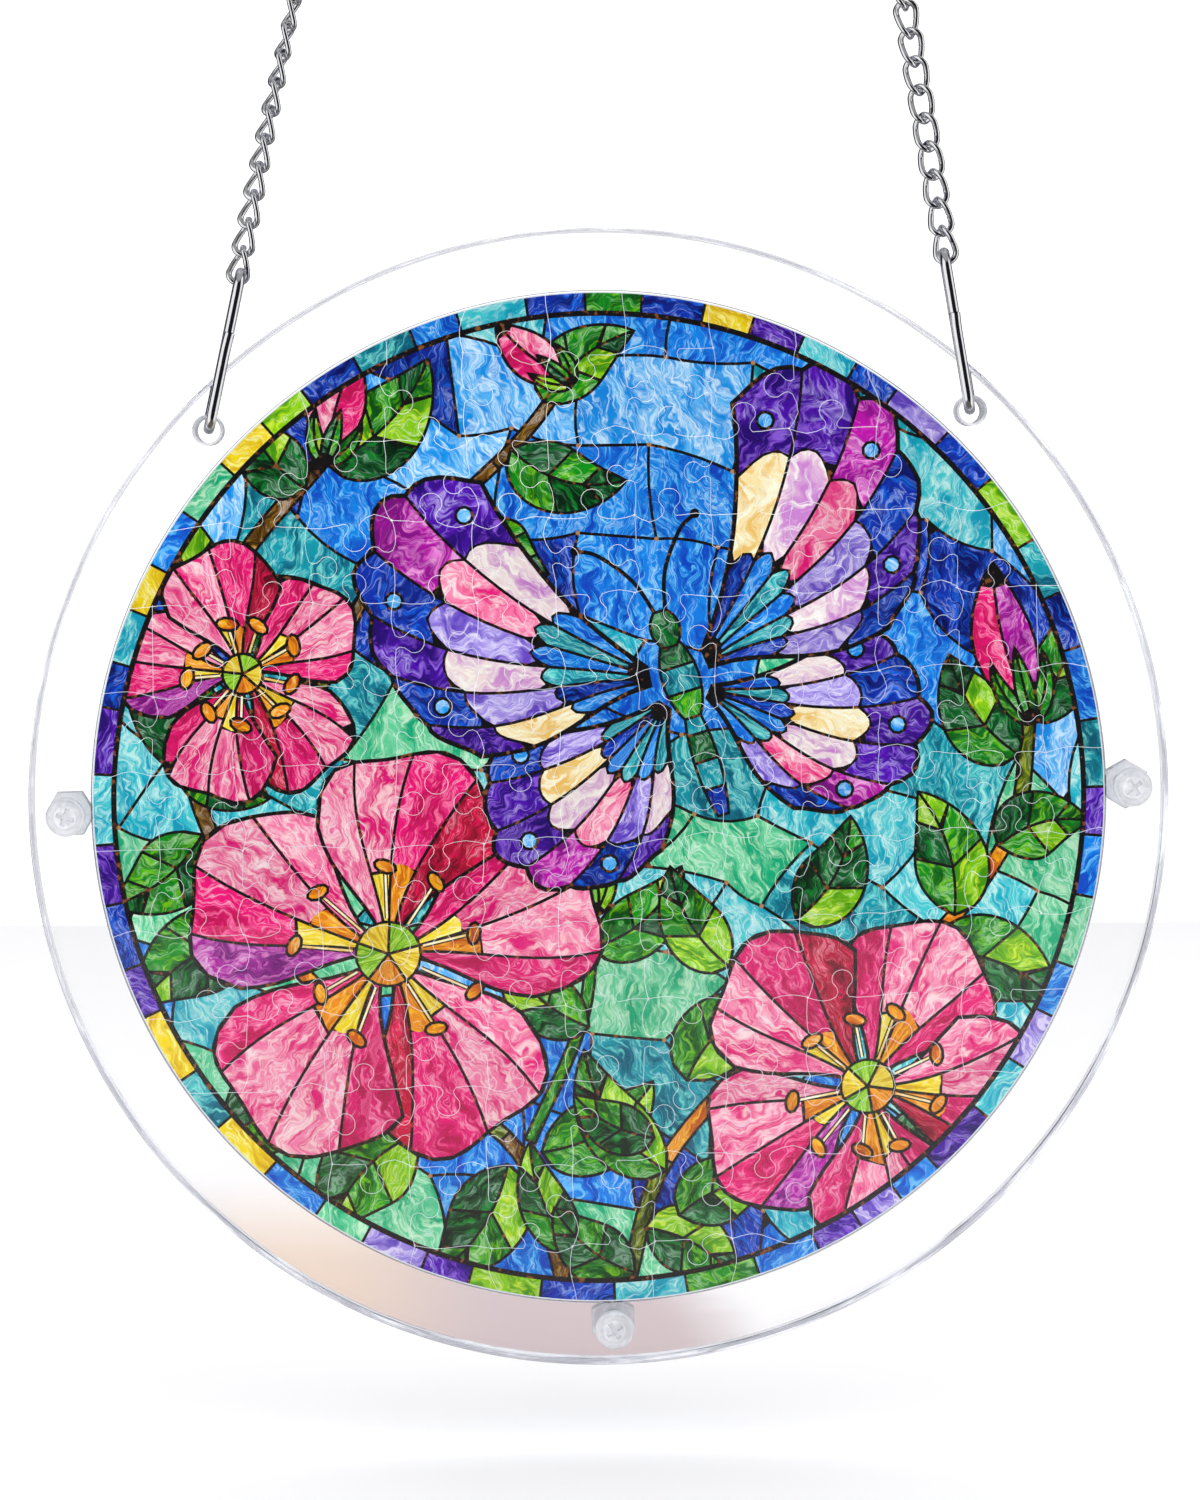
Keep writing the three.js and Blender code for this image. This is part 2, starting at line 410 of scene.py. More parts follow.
def makePlate(name, thickness):
    low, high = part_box(name)
    middle = discCentre.copy()
    middle.y = (low[1] + high[1]) / 2
    piece = addTube(name + "_clear", plate["radius"] * mm, thickness * mm, middle, plate["sides"])
    half = thickness * mm / 2

    def onRim(edge):
        ends = [piece.data.vertices[i].co - middle for i in edge.vertices]
        return all(abs(abs(p.y) - half) < 1e-6 for p in ends) and abs(ends[0].y - ends[1].y) < 1e-6

    editWhere(piece, "edges", onRim)
    bpy.ops.mesh.bevel(offset=plate["bevel"] * mm, segments=plate["bevelSteps"], affect="EDGES")
    leaveEdit()
    if name == "back_tray":
        editWhere(piece, "polygons", lambda face: face.normal.y < -plate["flat"] and len(face.vertices) > 4)
        inset = plate["radius"] - plate["bevel"] - plate["recessRadius"]
        bpy.ops.mesh.inset(thickness=inset * mm)
        depth = (0, plate["recessDepth"] * mm, 0)
        bpy.ops.mesh.extrude_region_move(TRANSFORM_OT_translate={"value": depth})
        leaveEdit()
    outer = -1 if name == "front_cover" else 1  # which way the plate's open face looks
    face = middle.y + outer * half
    sink = 2 * plate["holeBevel"] * mm
    wide = (plate["holeRadius"] + 2 * plate["holeBevel"]) * mm
    for hole in hangingHoles:
        booleanWith(piece, addTube("cutter", plate["holeRadius"] * mm, 0.02, hole, plate["boreSides"]))
        deselectAll()
        bpy.ops.mesh.primitive_cone_add(
            vertices=plate["boreSides"],
            radius1=wide,
            radius2=wide - sink,
            depth=sink,
            location=(hole.x, face, hole.z),
            rotation=(outer * math.pi / 2, 0, 0),
        )
        cutter = startPiece("cutter")
        applyPlace(cutter)
        booleanWith(piece, cutter)
    for side in ("left", "right", "bottom"):
        centre = centreOf("screw_" + side)
        booleanWith(piece, addTube("cutter", plate["boreRadius"] * mm, 0.03, centre, plate["boreSides"]))
    smoothed(piece, 8)
    dress(piece, [name], "clear_acrylic", acrylic, rimPlastic, drilledPlastic)
    for face in piece.data.polygons:
        if abs(face.normal.y) > plate["flat"]:
            continue
        if flatDistance(face.center, discCentre) > (plate["radius"] - plate["bevel"]) * mm:
            face.material_index = 1
        elif min(flatDistance(face.center, hole) for hole in hangingHoles) < plate["holeReach"] * mm:
            face.material_index = 2


makePlate("front_cover", plate["coverThickness"])
makePlate("back_tray", plate["trayThickness"])
print("plates ready")


# Clear plastic screws and nuts
screw = {
    "headRadius": 3.4,
    "headHeight": 2.1,
    "headRound": 0.75,
    "shankRadius": 1.95,
    "pitch": 0.7,
    "threadDepth": 0.28,
    "steps": 64,
    "crossLength": 3.8,
    "crossWidth": 0.95,
    "crossDepth": 1.3,
    "crossTaper": 0.72,
    "crossTurns": {"left": 20, "right": 57, "bottom": 58},
}
nut = {
    "acrossFlats": 7.6,
    "thickness": 3,
    "bore": 2.1,
    "boreSides": 48,
    "edge": 0.18,
    "shoulder": 0.97,  # where the turned corners start, as a share of half the width
    "slope": 0.55,
    "lensSteps": 72,
    "turns": {"left": 0, "right": 32, "bottom": 30},
}


def screwProfile(head, seat, end):
    radius = screw["headRadius"]
    rounding = screw["headRound"]
    points = [(0, head), (radius - rounding, head)]
    for step in range(1, 7):
        angle = step * math.pi / 12
        across = radius - rounding + rounding * math.sin(angle)
        points.append((across, head + rounding * (1 - math.cos(angle))))
    points += [(radius, seat - 0.12), (radius - 0.12, seat), (screw["shankRadius"], seat)]
    threads = int((end - seat) / screw["pitch"] * 6)
    for i in range(1, threads):
        points.append((screw["shankRadius"], seat + (end - seat - 0.4) * i / threads))
    points += [(screw["shankRadius"], end - 0.35), (screw["shankRadius"] - 0.35, end), (0, end)]
    return [(x * mm, y * mm) for x, y in points]


def cutThread(piece, centre, start):  # every shank point moves inwards by its place on the helix
    for vertex in piece.data.vertices:
        point = vertex.co - centre
        radius = math.hypot(point.x, point.z)
        if point.y < start or radius > (screw["shankRadius"] + 0.01) * mm or radius < 0.5 * mm:
            continue
        phase = (point.y / (screw["pitch"] * mm) + math.atan2(point.z, point.x) / (2 * math.pi)) % 1
        depth = screw["threadDepth"] * mm * abs(2 * phase - 1)
        vertex.co.x -= depth * point.x / radius
        vertex.co.z -= depth * point.z / radius


def addReach(piece, centre):  # each vertex's distance from the screw's axis, for the shader
    reach = [flatDistance(vertex.co, centre) / mm for vertex in piece.data.vertices]
    piece.data.attributes.new("reach", "FLOAT", "POINT").data.foreach_set("value", reach)


def makeScrew(side):
    low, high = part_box("screw_" + side)
    centre = centreOf("screw_" + side)
    centre.y = 0
    head = low[1] / mm
    profile = screwProfile(head, head + screw["headHeight"], high[1] / mm)
    piece = spun(f"screw_{side}_fine", profile, centre, screw["steps"])
    cutThread(piece, centre, (head + screw["headHeight"] + 0.5) * mm)
    turn = math.radians(screw["crossTurns"][side]) - discTurn
    for quarter in (0, math.pi / 2):
        deselectAll()
        bpy.ops.mesh.primitive_cube_add(size=1, location=(0, 0, 0))
        slot = startPiece("slot")
        for vertex in slot.data.vertices:
            narrow = screw["crossTaper"] if vertex.co.y > 0 else 1
            vertex.co.x *= screw["crossLength"] * narrow * mm
            vertex.co.z *= screw["crossWidth"] * narrow * mm
            vertex.co.y *= 2 * screw["crossDepth"] * mm
        slot.data.transform(Matrix.Rotation(turn + quarter, 4, "Y"))
        slot.data.transform(Matrix.Translation((centre.x, low[1], centre.z)))
        booleanWith(piece, slot)
    smoothed(piece, 32)
    addReach(piece, centre)
    dress(piece, ["screw_" + side], "clear_nylon", nylon)


def makeNut(side):
    centre = centreOf("nut_" + side)
    corner = nut["acrossFlats"] / 2 / math.cos(math.pi / 6) * mm
    depth = nut["thickness"] * mm
    piece = addTube(f"nut_{side}_fine", corner, depth, (0, 0, 0), 6)
    # The hexagon's corners are turned down at both faces by a wide lens.
    shoulder = nut["acrossFlats"] / 2 * mm * nut["shoulder"]
    wide = corner + 1e-4
    face = depth / 2 + 1e-5
    edge = depth / 2 - (wide - shoulder) * nut["slope"]
    lens = [(0, -face), (shoulder, -face), (wide, -edge), (wide, edge), (shoulder, face), (0, face)]
    booleanWith(piece, spun("lens", lens, (0, 0, 0), nut["lensSteps"]), "INTERSECT")
    booleanWith(piece, addTube("bore", nut["bore"] * mm, 0.02, (0, 0, 0), nut["boreSides"]))
    # A first corner of the solid points along +X before its turn.
    piece.data.transform(Matrix.Rotation(math.radians(nut["turns"][side] + 30) - discTurn, 4, "Y"))
    piece.data.transform(Matrix.Translation(centre))
    smoothed(piece, 25)
    applyModifier(piece, "BEVEL", {"width": nut["edge"] * mm, "segments": 2, "limit_method": "ANGLE"})
    addReach(piece, centre)
    dress(piece, ["nut_" + side], "clear_nylon", nylon)


for side in ("left", "right", "bottom"):
    makeScrew(side)
    makeNut(side)
print("screws and nuts ready")


# Bent wire: connectors, chain links and end rings
wires = {
    "connector": {
        "halfLength": 13.8,
        "halfWidth": 5.55,
        "cornerRadius": 3.1,
        "wire": 1.9,
        "twist": 0,
        "seamHeight": 3.2,
        "slip": 0.16,  # how far the end below the seam stands aside
        "around": 20,
        "along": 120,
    },
    "link": {
        "halfLength": 3.075,
        "halfWidth": 1.8,
        "cornerRadius": 1.8,
        "wire": 1.1,
        "twist": 45,
        "seamHeight": 0,
        "slip": 0,
        "around": 14,
        "along": 64,
    },
    "ring": {
        "halfLength": 6.2,
        "halfWidth": 6.2,
        "cornerRadius": 6.2,
        "wire": 1.6,
        "twist": 0,
        "seamHeight": 0,
        "slip": 0,
        "around": 18,
        "along": 96,
    },
}
seam = {"gap": 0.07, "depth": 0.3, "slipReach": 4}  # the groove where a wire's two ends meet
chains = {
    "left": {"connectorTurn": 4.5, "links": 11, "firstTurn": -45, "lastTurn": -90, "ringTurn": -12},
    "right": {"connectorTurn": -6.5, "links": 10, "firstTurn": -38, "lastTurn": 30, "ringTurn": 56},
}


def oblongPlace(spec, travel):  # a middle-line point and its outward direction, from the seam on
    radius = spec["cornerRadius"]
    across = spec["halfWidth"] - radius
    along = spec["halfLength"] - radius
    bend = radius * math.pi / 2
    stretches = [along - spec["seamHeight"], bend, 2 * across, bend, 2 * along, bend, 2 * across, bend]
    corners = {1: (across, along), 3: (-across, along), 5: (-across, -along), 7: (across, -along)}
    for i, length in enumerate(stretches):
        if travel <= length:
            break
        travel -= length
    else:
        return (spec["halfWidth"], -along + travel), (1, 0)
    if i in corners:
        angle = (i - 1) / 2 * math.pi / 2 + travel / radius
        out = (math.cos(angle), math.sin(angle))
        return (corners[i][0] + radius * out[0], corners[i][1] + radius * out[1]), out
    starts = {
        0: ((spec["halfWidth"], spec["seamHeight"]), (0, 1), (1, 0)),
        2: ((across, spec["halfLength"]), (-1, 0), (0, 1)),
        4: ((-spec["halfWidth"], along), (0, -1), (-1, 0)),
        6: ((-across, -spec["halfLength"]), (1, 0), (0, -1)),
    }
    start, way, out = starts[i]
    return (start[0] + way[0] * travel, start[1] + way[1] * travel), out


def oblongLength(spec):
    radius = spec["cornerRadius"]
    return 4 * (spec["halfWidth"] + spec["halfLength"] - 2 * radius) + 2 * math.pi * radius


def makeWire(name, spec):
    # A torus is the start: each of its rings goes to its place along the bent wire.
    deselectAll()
    bpy.ops.mesh.primitive_torus_add(
        major_segments=spec["along"], minor_segments=spec["around"], major_radius=10, minor_radius=1
    )
    piece = startPiece(name)
    total = oblongLength(spec)
    gap = seam["gap"]
    rings = spec["along"]
    for vertex in piece.data.vertices:
        x, y, z = vertex.co
        angle = math.atan2(y, x) % (2 * math.pi)
        number = round(angle / (2 * math.pi) * rings) % rings
        if number == 0:
            travel, thin = 0, 1 - seam["depth"]
        elif number in (1, rings - 1):
            travel, thin = (gap if number == 1 else total - gap), 1
        else:
            travel, thin = gap + (total - 2 * gap) * (number - 1) / (rings - 2), 1
        (across, along), out = oblongPlace(spec, travel)
        swell = (math.hypot(x, y) - 10) * spec["wire"] / 2 * thin
        side = z * spec["wire"] / 2 * thin
        side += spec["slip"] * max(0, 1 - (total - travel) / seam["slipReach"]) ** 2
        across += swell * out[0]
        along += swell * out[1]
        turn = -math.radians(spec["twist"]) * along / spec["halfLength"]
        vertex.co = (
            (across * math.cos(turn) - side * math.sin(turn)) * mm,
            (across * math.sin(turn) + side * math.cos(turn)) * mm,
            along * mm,
        )
    editAll(piece)
    bpy.ops.mesh.normals_make_consistent(inside=False)
    leaveEdit()
    smoothed(piece, 40)
    return piece


def placeWire(pattern, node, centre, lean, turn, slot, material):
    piece = pattern.copy()
    piece.data = pattern.data.copy()
    piece.name = piece.data.name = node + "_wire"
    bpy.context.collection.objects.link(piece)
    matrix = Matrix.Translation(centre) @ Matrix.Rotation(lean, 4, "Y") @ Matrix.Rotation(turn, 4, "Z")
    piece.data.transform(matrix)
    dress(piece, [node], slot, material)


patterns = {kind: makeWire(kind + "Pattern", spec) for kind, spec in wires.items()}
for side, chain in chains.items():
    names = [f"chain_{side}_link_{i + 1:02d}" for i in range(chain["links"])]
    run = centreOf(names[-1]) - centreOf(names[0])
    lean = math.atan2(run.x, run.z)
    node = "connector_" + side
    turn = math.radians(chain["connectorTurn"] - 90)
    placeWire(patterns["connector"], node, centreOf(node), lean, turn, "steel_wire", wireChrome)
    for i, node in enumerate(names):
        share = i / (chain["links"] - 1)
        turn = math.radians(chain["firstTurn"] + share * (chain["lastTurn"] - chain["firstTurn"]))
        placeWire(patterns["link"], node, centreOf(node), lean, turn, "steel_chain", chainChrome)
    node = "ring_" + side
    turn = math.radians(chain["ringTurn"])
    placeWire(patterns["ring"], node, centreOf(node), lean, turn, "steel_wire", wireChrome)
for pattern in patterns.values():
    bpy.data.objects.remove(pattern)
print("wires and chains ready")


# The printed puzzle. Its plane is laid out in millimetres from its middle, x to the right
# and z up, and turned with the disc at the end.
puzzle = {
    "radius": 89,
    "thickness": 2,
    "outline": 0.2,  # the pale edge round the print
    "borderWidth": 3.05,
    "borderSegments": 52,
    "borderTones": ["navy", "azure", "mint", "lime", "azure", "teal",
                    "lilac", "navy", "leaf", "aqua", "sun", "violet"],
    "borderLead": 0.5,
    "ringLead": 0.95,
    "lead": 0.52,
    "solder": 0.42,
    "pieceSize": 14.2,
    "cornerStray": 0.9,
    "smallest": 12,  # a piece of a smaller area, in square millimetres, is left out
    "cut": 0.08,
    "seed": 11,
}
# Deep, middle and light tone of each glass, 0 to 255
glassTones = {
    "navy": ((10, 20, 100), (26, 58, 168), (84, 132, 224)),
    "azure": ((6, 80, 190), (28, 136, 222), (146, 208, 244)),
    "sky": ((70, 150, 220), (128, 194, 240), (218, 238, 250)),
    "teal": ((0, 104, 128), (18, 158, 172), (150, 226, 216)),
    "aqua": ((44, 164, 188), (108, 206, 210), (206, 240, 232)),
    "mint": ((66, 176, 134), (130, 212, 168), (208, 240, 208)),
    "forest": ((2, 44, 22), (8, 92, 44), (58, 156, 76)),
    "leaf": ((10, 88, 30), (42, 150, 52), (146, 208, 84)),
    "lime": ((78, 152, 32), (146, 204, 54), (218, 234, 118)),
    "olive": ((40, 58, 8), (98, 116, 24), (172, 182, 64)),
    "sun": ((214, 172, 10), (242, 216, 52), (253, 244, 166)),
    "blush": ((226, 92, 142), (246, 154, 184), (254, 226, 224)),
    "rose": ((192, 20, 92), (234, 64, 134), (250, 156, 186)),
    "ruby": ((120, 4, 40), (192, 14, 62), (238, 76, 116)),
    "orchid": ((128, 20, 128), (188, 60, 170), (236, 162, 216)),
    "violet": ((46, 14, 116), (92, 42, 170), (166, 130, 222)),
    "lilac": ((124, 102, 192), (178, 162, 226), (234, 224, 246)),
    "opal": ((206, 150, 206), (242, 224, 222), (255, 252, 238)),
    "cream": ((238, 202, 136), (250, 234, 190), (255, 251, 230)),
    "amber": ((190, 88, 10), (236, 150, 30), (252, 206, 92)),
    "bark": ((56, 32, 8), (110, 74, 20), (182, 142, 54)),
}
toneNames = ("deepTone", "middleTone", "lightTone")
chance = random.Random(puzzle["seed"])
layers = []  # bottom to top: outline, glass or lead, and the way its grain runs


def linear(tone):
    return [((c / 255 + 0.055) / 1.055) ** 2.4 if c > 10 else c / 255 / 12.92 for c in tone]


def smoothLine(keys, steps, closed=False):  # a Catmull-Rom curve through the key points
    keys = np.array(keys, float)
    count = len(keys)
    points = []
    for i in range(count if closed else count - 1):
        if closed:
            a, b, c, d = (keys[(i + k) % count] for k in (-1, 0, 1, 2))
        else:
            b, c = keys[i], keys[i + 1]
            a = keys[i - 1] if i else 2 * b - c
            d = keys[i + 2] if i + 2 < count else 2 * c - b
        for k in range(steps):
            t = k / steps
            curve = 2 * b + (c - a) * t + (2 * a - 5 * b + 4 * c - d) * t * t
            points.append((curve + (3 * b - a - 3 * c + d) * t ** 3) / 2)
    if not closed:
        points.append(keys[-1])
    return np.array(points)


def acrossOf(line):  # unit vectors to the left of the line
    ahead = np.gradient(line, axis=0)
    ahead /= np.linalg.norm(ahead, axis=1)[:, None]
    return np.stack([-ahead[:, 1], ahead[:, 0]], axis=1)


def ribbon(line, width):
    across = acrossOf(line) * width / 2
    return np.concatenate([line + across, (line - across)[::-1]])


def signedArea(points):
    x, z = points[:, 0], points[:, 1]
    return 0.5 * float(np.sum(x * np.roll(z, -1) - np.roll(x, -1) * z))


def distanceTo(points, outline):  # from each point to the nearest side of the outline
    start = outline[None, :, :]
    side = np.roll(outline, -1, axis=0)[None, :, :] - start
    offset = points[:, None, :] - start
    length = np.maximum((side**2).sum(2), 1e-9)
    share = np.clip((offset * side).sum(2) / length, 0, 1)
    return np.sqrt(((offset - share[:, :, None] * side) ** 2).sum(2)).min(1)


def grown(points, by):  # the outline moved out by that much, or in where it is negative
    points = np.array(points, float)
    keep = np.linalg.norm(points - np.roll(points, 1, axis=0), axis=1) > 1e-3
    points = points[keep]
    if len(points) < 3:
        return None
    if signedArea(points) < 0:
        points = points[::-1]
    ahead = np.roll(points, -1, axis=0) - points
    ahead /= np.linalg.norm(ahead, axis=1)[:, None]
    behind = np.roll(ahead, 1, axis=0)
    outward = np.stack([ahead[:, 1] + behind[:, 1], -(ahead[:, 0] + behind[:, 0])], axis=1)
    size = np.maximum(np.linalg.norm(outward, axis=1), 1e-6)
    reach = np.minimum(2 / size, 2.5)  # longer at corners
    moved = points + outward / size[:, None] * (by * reach)[:, None]
    moved = moved[distanceTo(moved, points) > abs(by) * 0.93]
    if len(moved) < 3 or signedArea(moved) < 0.35:
        return None
    return moved


def paint(points, tone, grain=("flat", 0.0)):
    if points is not None:
        layers.append((np.array(points, float), tone, grain, chance.uniform(0, 90)))


def leadUnder(points, extra=0.0):
    paint(grown(points, puzzle["lead"] / 2 + extra), "lead")


def pane(points, tone, grain):
    paint(grown(points, -puzzle["lead"] / 2), tone, grain)


def arc(radius, start, end, steps):
    angles = np.linspace(start, end, steps + 1)
    return np.stack([radius * np.cos(angles), radius * np.sin(angles)], axis=1)


def polar(angle, radius):
    return np.array([math.cos(angle), math.sin(angle)]) * radius


def circle(radius, sides):
    return arc(radius, 0, 2 * math.pi, sides)[:-1]


# Background: curved panes laid like bricks, in blues and greens
background = {
    "paneWidth": 24,
    "paneHeight": 15,
    "stray": 2.6,
    "bulge": 0.2,
    "turn": -24,
    "steps": 5,
    "upper": 22,  # where the upper panes begin
    "lower": -30,  # and the lower ones end
    "tones": {
        "upper": ["azure", "sky", "azure", "navy", "aqua", "lilac", "sky", "teal"],
        "middle": ["aqua", "mint", "sky", "aqua", "azure", "teal", "mint"],
        "lower": ["azure", "teal", "navy", "aqua", "azure", "mint"],
    },
}


paneCorners = {}
paneSides = {}


def paneCorner(row, half):
    if (row, half) not in paneCorners:
        stray = background["stray"]
        x = half * background["paneWidth"] / 2 + chance.uniform(-stray, stray)
        z = row * background["paneHeight"] + chance.uniform(-stray, stray)
        x, z = x + 7 * math.sin(z / 21 + 0.6), z + 8 * math.sin(x / 25 + 0.4)
        turn = math.radians(background["turn"])
        corner = (x * math.cos(turn) - z * math.sin(turn), x * math.sin(turn) + z * math.cos(turn))
        paneCorners[row, half] = np.array(corner)
    return paneCorners[row, half]


def paneSide(first, second):
    swap = first > second
    key = (second, first) if swap else (first, second)
    if key not in paneSides:
        a, b = paneCorner(*key[0]), paneCorner(*key[1])
        across = np.array([a[1] - b[1], b[0] - a[0]])
        middle = (a + b) / 2 + across * chance.uniform(-1, 1) * background["bulge"]
        t = np.linspace(0, 1, background["steps"] + 1)[:, None]
        paneSides[key] = (1 - t) ** 2 * a + 2 * t * (1 - t) * middle + t * t * b
    side = paneSides[key]
    return side[::-1] if swap else side


def paintBackground():
    for row in range(-8, 8):
        for column in range(-6, 6):
            half = 2 * column + row % 2
            ring = [(row, half), (row, half + 1), (row, half + 2)]
            ring += [(row + 1, half + 2), (row + 1, half + 1), (row + 1, half)]
            sides = [paneSide(ring[i], ring[(i + 1) % 6])[:-1] for i in range(6)]
            outline = np.concatenate(sides)
            middle = outline.mean(axis=0)
            if np.linalg.norm(middle) > puzzle["radius"] + 12:
                continue
            level = "middle" if middle[1] > background["lower"] else "lower"
            if middle[1] > background["upper"]:
                level = "upper"
            tone = chance.choice(background["tones"][level])
            pane(outline, tone, ("flat", chance.uniform(-1.9, -0.9)))
    for row in range(-8, 9):
        for half in range(-14, 15):
            paint(circle(puzzle["solder"], 7) + paneCorner(row, half), "solder")


# Stems, leaves and buds
def paintStem(keys, width, tones):
    middle = smoothLine(keys, 7)
    across = acrossOf(middle) * width / 2
    leadUnder(ribbon(middle, width))
    start = 0
    while start < len(middle) - 2:
        end = min(start + chance.randint(5, 8), len(middle) - 1)
        left = middle[start : end + 1] + across[start : end + 1]
        right = (middle[start : end + 1] - across[start : end + 1])[::-1]
        run = middle[end] - middle[start]
        grain = ("flat", math.atan2(run[1], run[0]))
        pane(np.concatenate([left, right]), chance.choice(tones), grain)
        start = end


def paintLeaf(base, tip, width, bend, tones, veins=(0.36, 0.66), fullness=0.72):
    base, tip = np.array(base, float), np.array(tip, float)
    run = tip - base
    normal = np.array([-run[1], run[0]])
    heading = math.atan2(run[1], run[0])

    def rib(t):
        return base + run * t + normal * bend * 4 * t * (1 - t)

    def edge(t, side):
        half = width / 2 * max(math.sin(math.pi * min(t, 1) ** fullness), 0) ** 0.82
        ahead = run + normal * bend * 4 * (1 - 2 * t)
        across = np.array([-ahead[1], ahead[0]]) / np.linalg.norm(ahead)
        return rib(t) + across * half * side

    steps = np.linspace(0, 1, 19)
    outline = [edge(t, 1) for t in steps[:-1]] + [edge(t, -1) for t in steps[:0:-1]]
    leadUnder(outline)
    for side in (1, -1):
        stops = [0.0, *veins, 1.0]
        for start, end in zip(stops, stops[1:]):
            outer = [start + (0.15 if start else 0), end + (0.15 if end < 1 else 0)]
            ribs = [rib(t) for t in np.linspace(start, end, 7)]
            edges = [edge(t, side) for t in np.linspace(outer[1], outer[0], 8)]
            turn = heading + 4 * bend * (1 - start - end) + side * 0.5
            pane(ribs + edges, chance.choice(tones), ("flat", turn))


def paintBud(base, tip, width, bend, tones):
    paintLeaf(base, tip, width, bend, tones, veins=(), fullness=0.85)
    base, tip = np.array(base, float), np.array(tip, float)
    run = tip - base
    across = np.array([-run[1], run[0]]) / np.linalg.norm(run)
    for side in (1, -1):
        end = base + run * 0.36 + across * side * width * 0.42
        paintLeaf(base - run * 0.1, end, width * 0.3, side * 0.1, ["leaf", "lime"], veins=())
    paintLeaf(base - run * 0.08, base + run * 0.42, width * 0.3, 0, ["forest", "leaf"], veins=())


# Blossoms: five broad petals, each a fan of panes with a pale throat
def paintPetal(centre, heading, length, spread, bend, tones, inner=0.14):
    centre = np.array(centre, float)
    ruffle = chance.uniform(0, 6)

    def at(side, reach):
        rim = length * (1 - 0.15 * side**2 - 0.13 * side**4 + 0.035 * math.sin(6.5 * side + ruffle))
        neck = 0.4 + 0.6 * math.sin(math.pi / 2 * min(1, 1.15 * reach))
        return centre + polar(heading + spread * side * neck + bend * reach**2, rim * reach)

    def outline(first, last, low, high):
        out = [at(first, reach) for reach in np.linspace(low, high, 8)]
        rim = [at(side, high) for side in np.linspace(first, last, max(4, int(9 * (last - first))))]
        back = [at(last, reach) for reach in np.linspace(high, low, 8)]
        return out + rim[1:-1] + back

    leadUnder(outline(-1, 1, inner, 1), 0.15)
    grain = ("fan", *centre)
    splits = [-1, -0.52 + chance.uniform(-0.08, 0.08), chance.uniform(-0.1, 0.1), 0.5, 1]
    for i, (first, last) in enumerate(zip(splits, splits[1:])):
        throat = chance.uniform(0.36, 0.5) if i in (1, 2) else inner
        pane(outline(first, last, throat, 1), tones[i % len(tones)], grain)
        if i in (1, 2):
            pane(outline(first, last, inner, throat), ("amber", "sun")[i - 1], grain)


blossom = {
    "heart": 0.155,  # its radius, as a share of the blossom's size
    "stamens": 9,
    "stamenReach": (0.34, 0.46),
    "thread": 0.42,  # half the width of a stamen's lead
    "glass": 0.45,  # the pale share of that width
    "anther": (2.0, 1.15),
    "spread": 0.66,
}


def paintBlossom(centre, size, turn, petals):
    for i in (0, 2, 4, 1, 3):
        heading = turn + i * 2 * math.pi / 5
        tones = petals[i % len(petals)]
        length = size * chance.uniform(0.93, 1.05)
        bend = chance.uniform(-0.16, 0.16)
        paintPetal(centre, heading, length, blossom["spread"], bend, tones)
    centre = np.array(centre, float)
    fifth = 2 * math.pi / 5
    heart = size * blossom["heart"]
    leadUnder(circle(heart, 15) + centre)
    for i in range(5):
        turn += fifth
        wedge = arc(heart, turn, turn + fifth, 4) + centre
        pane(np.concatenate([[centre], wedge]), ("sun", "lime", "amber")[i % 3], ("fan", *centre))
    for i in range(blossom["stamens"]):  # each a thread with a head
        heading = turn + i * 2 * math.pi / blossom["stamens"] + chance.uniform(-0.12, 0.12)
        reach = size * chance.uniform(*blossom["stamenReach"])
        start, end = centre + polar(heading, size * 0.17), centre + polar(heading, reach)
        side = polar(heading + math.pi / 2, blossom["thread"])
        for tone in ("lead", "cream"):
            paint(np.array([start - side, end - side, end + side, start + side]), tone)
            side = side * blossom["glass"]
        knob = circle(1, 10) * blossom["anther"]
        turned = heading + 1.2
        spin = np.array([[math.cos(turned), math.sin(turned)], [-math.sin(turned), math.cos(turned)]])
        leadUnder(knob @ spin + end)
        pane(knob @ spin + end, "amber", ("flat", turned))


# The butterfly: four wings, each a fan of panes in three bands, and a slender body
butterfly = {
    "centre": (15, 20),
    "heading": 106,  # the way its head points
    "wings": [  # the hind pair, then the fore pair, each rim from front to back
        {"turn": 122, "spread": 36, "length": 40, "rim": (0.74, 0.9, 1, 0.98, 0.86, 0.68)},
        {"turn": 60, "spread": 34, "length": 57, "rim": (0.84, 1, 0.98, 0.88, 0.76, 0.62)},
    ],
    "bands": [
        (0.13, 0.4, ["azure", "teal", "navy", "azure", "teal"]),
        (0.4, 0.74, ["opal", "lilac", "cream", "opal", "blush", "lilac"]),
        (0.74, 1.0, ["violet", "navy", "violet", "violet", "orchid", "navy"]),
    ],
    "panes": 6,
    "scallop": 0.045,  # how far each pane's rim swells, as a share of the wing's length
    "parts": [  # of the body: its two ends, half its width, its panes
        (-24, -4, 2.2, ["navy", "teal", "forest", "teal"]),
        (-6, 8, 3.3, ["leaf", "teal", "forest"]),
        (7, 13.5, 2.6, ["forest"]),
    ],
    "feeler": ((13, 0.8), (20, 3), (26, 7.5), (28, 11)),  # ahead and aside of the centre
}


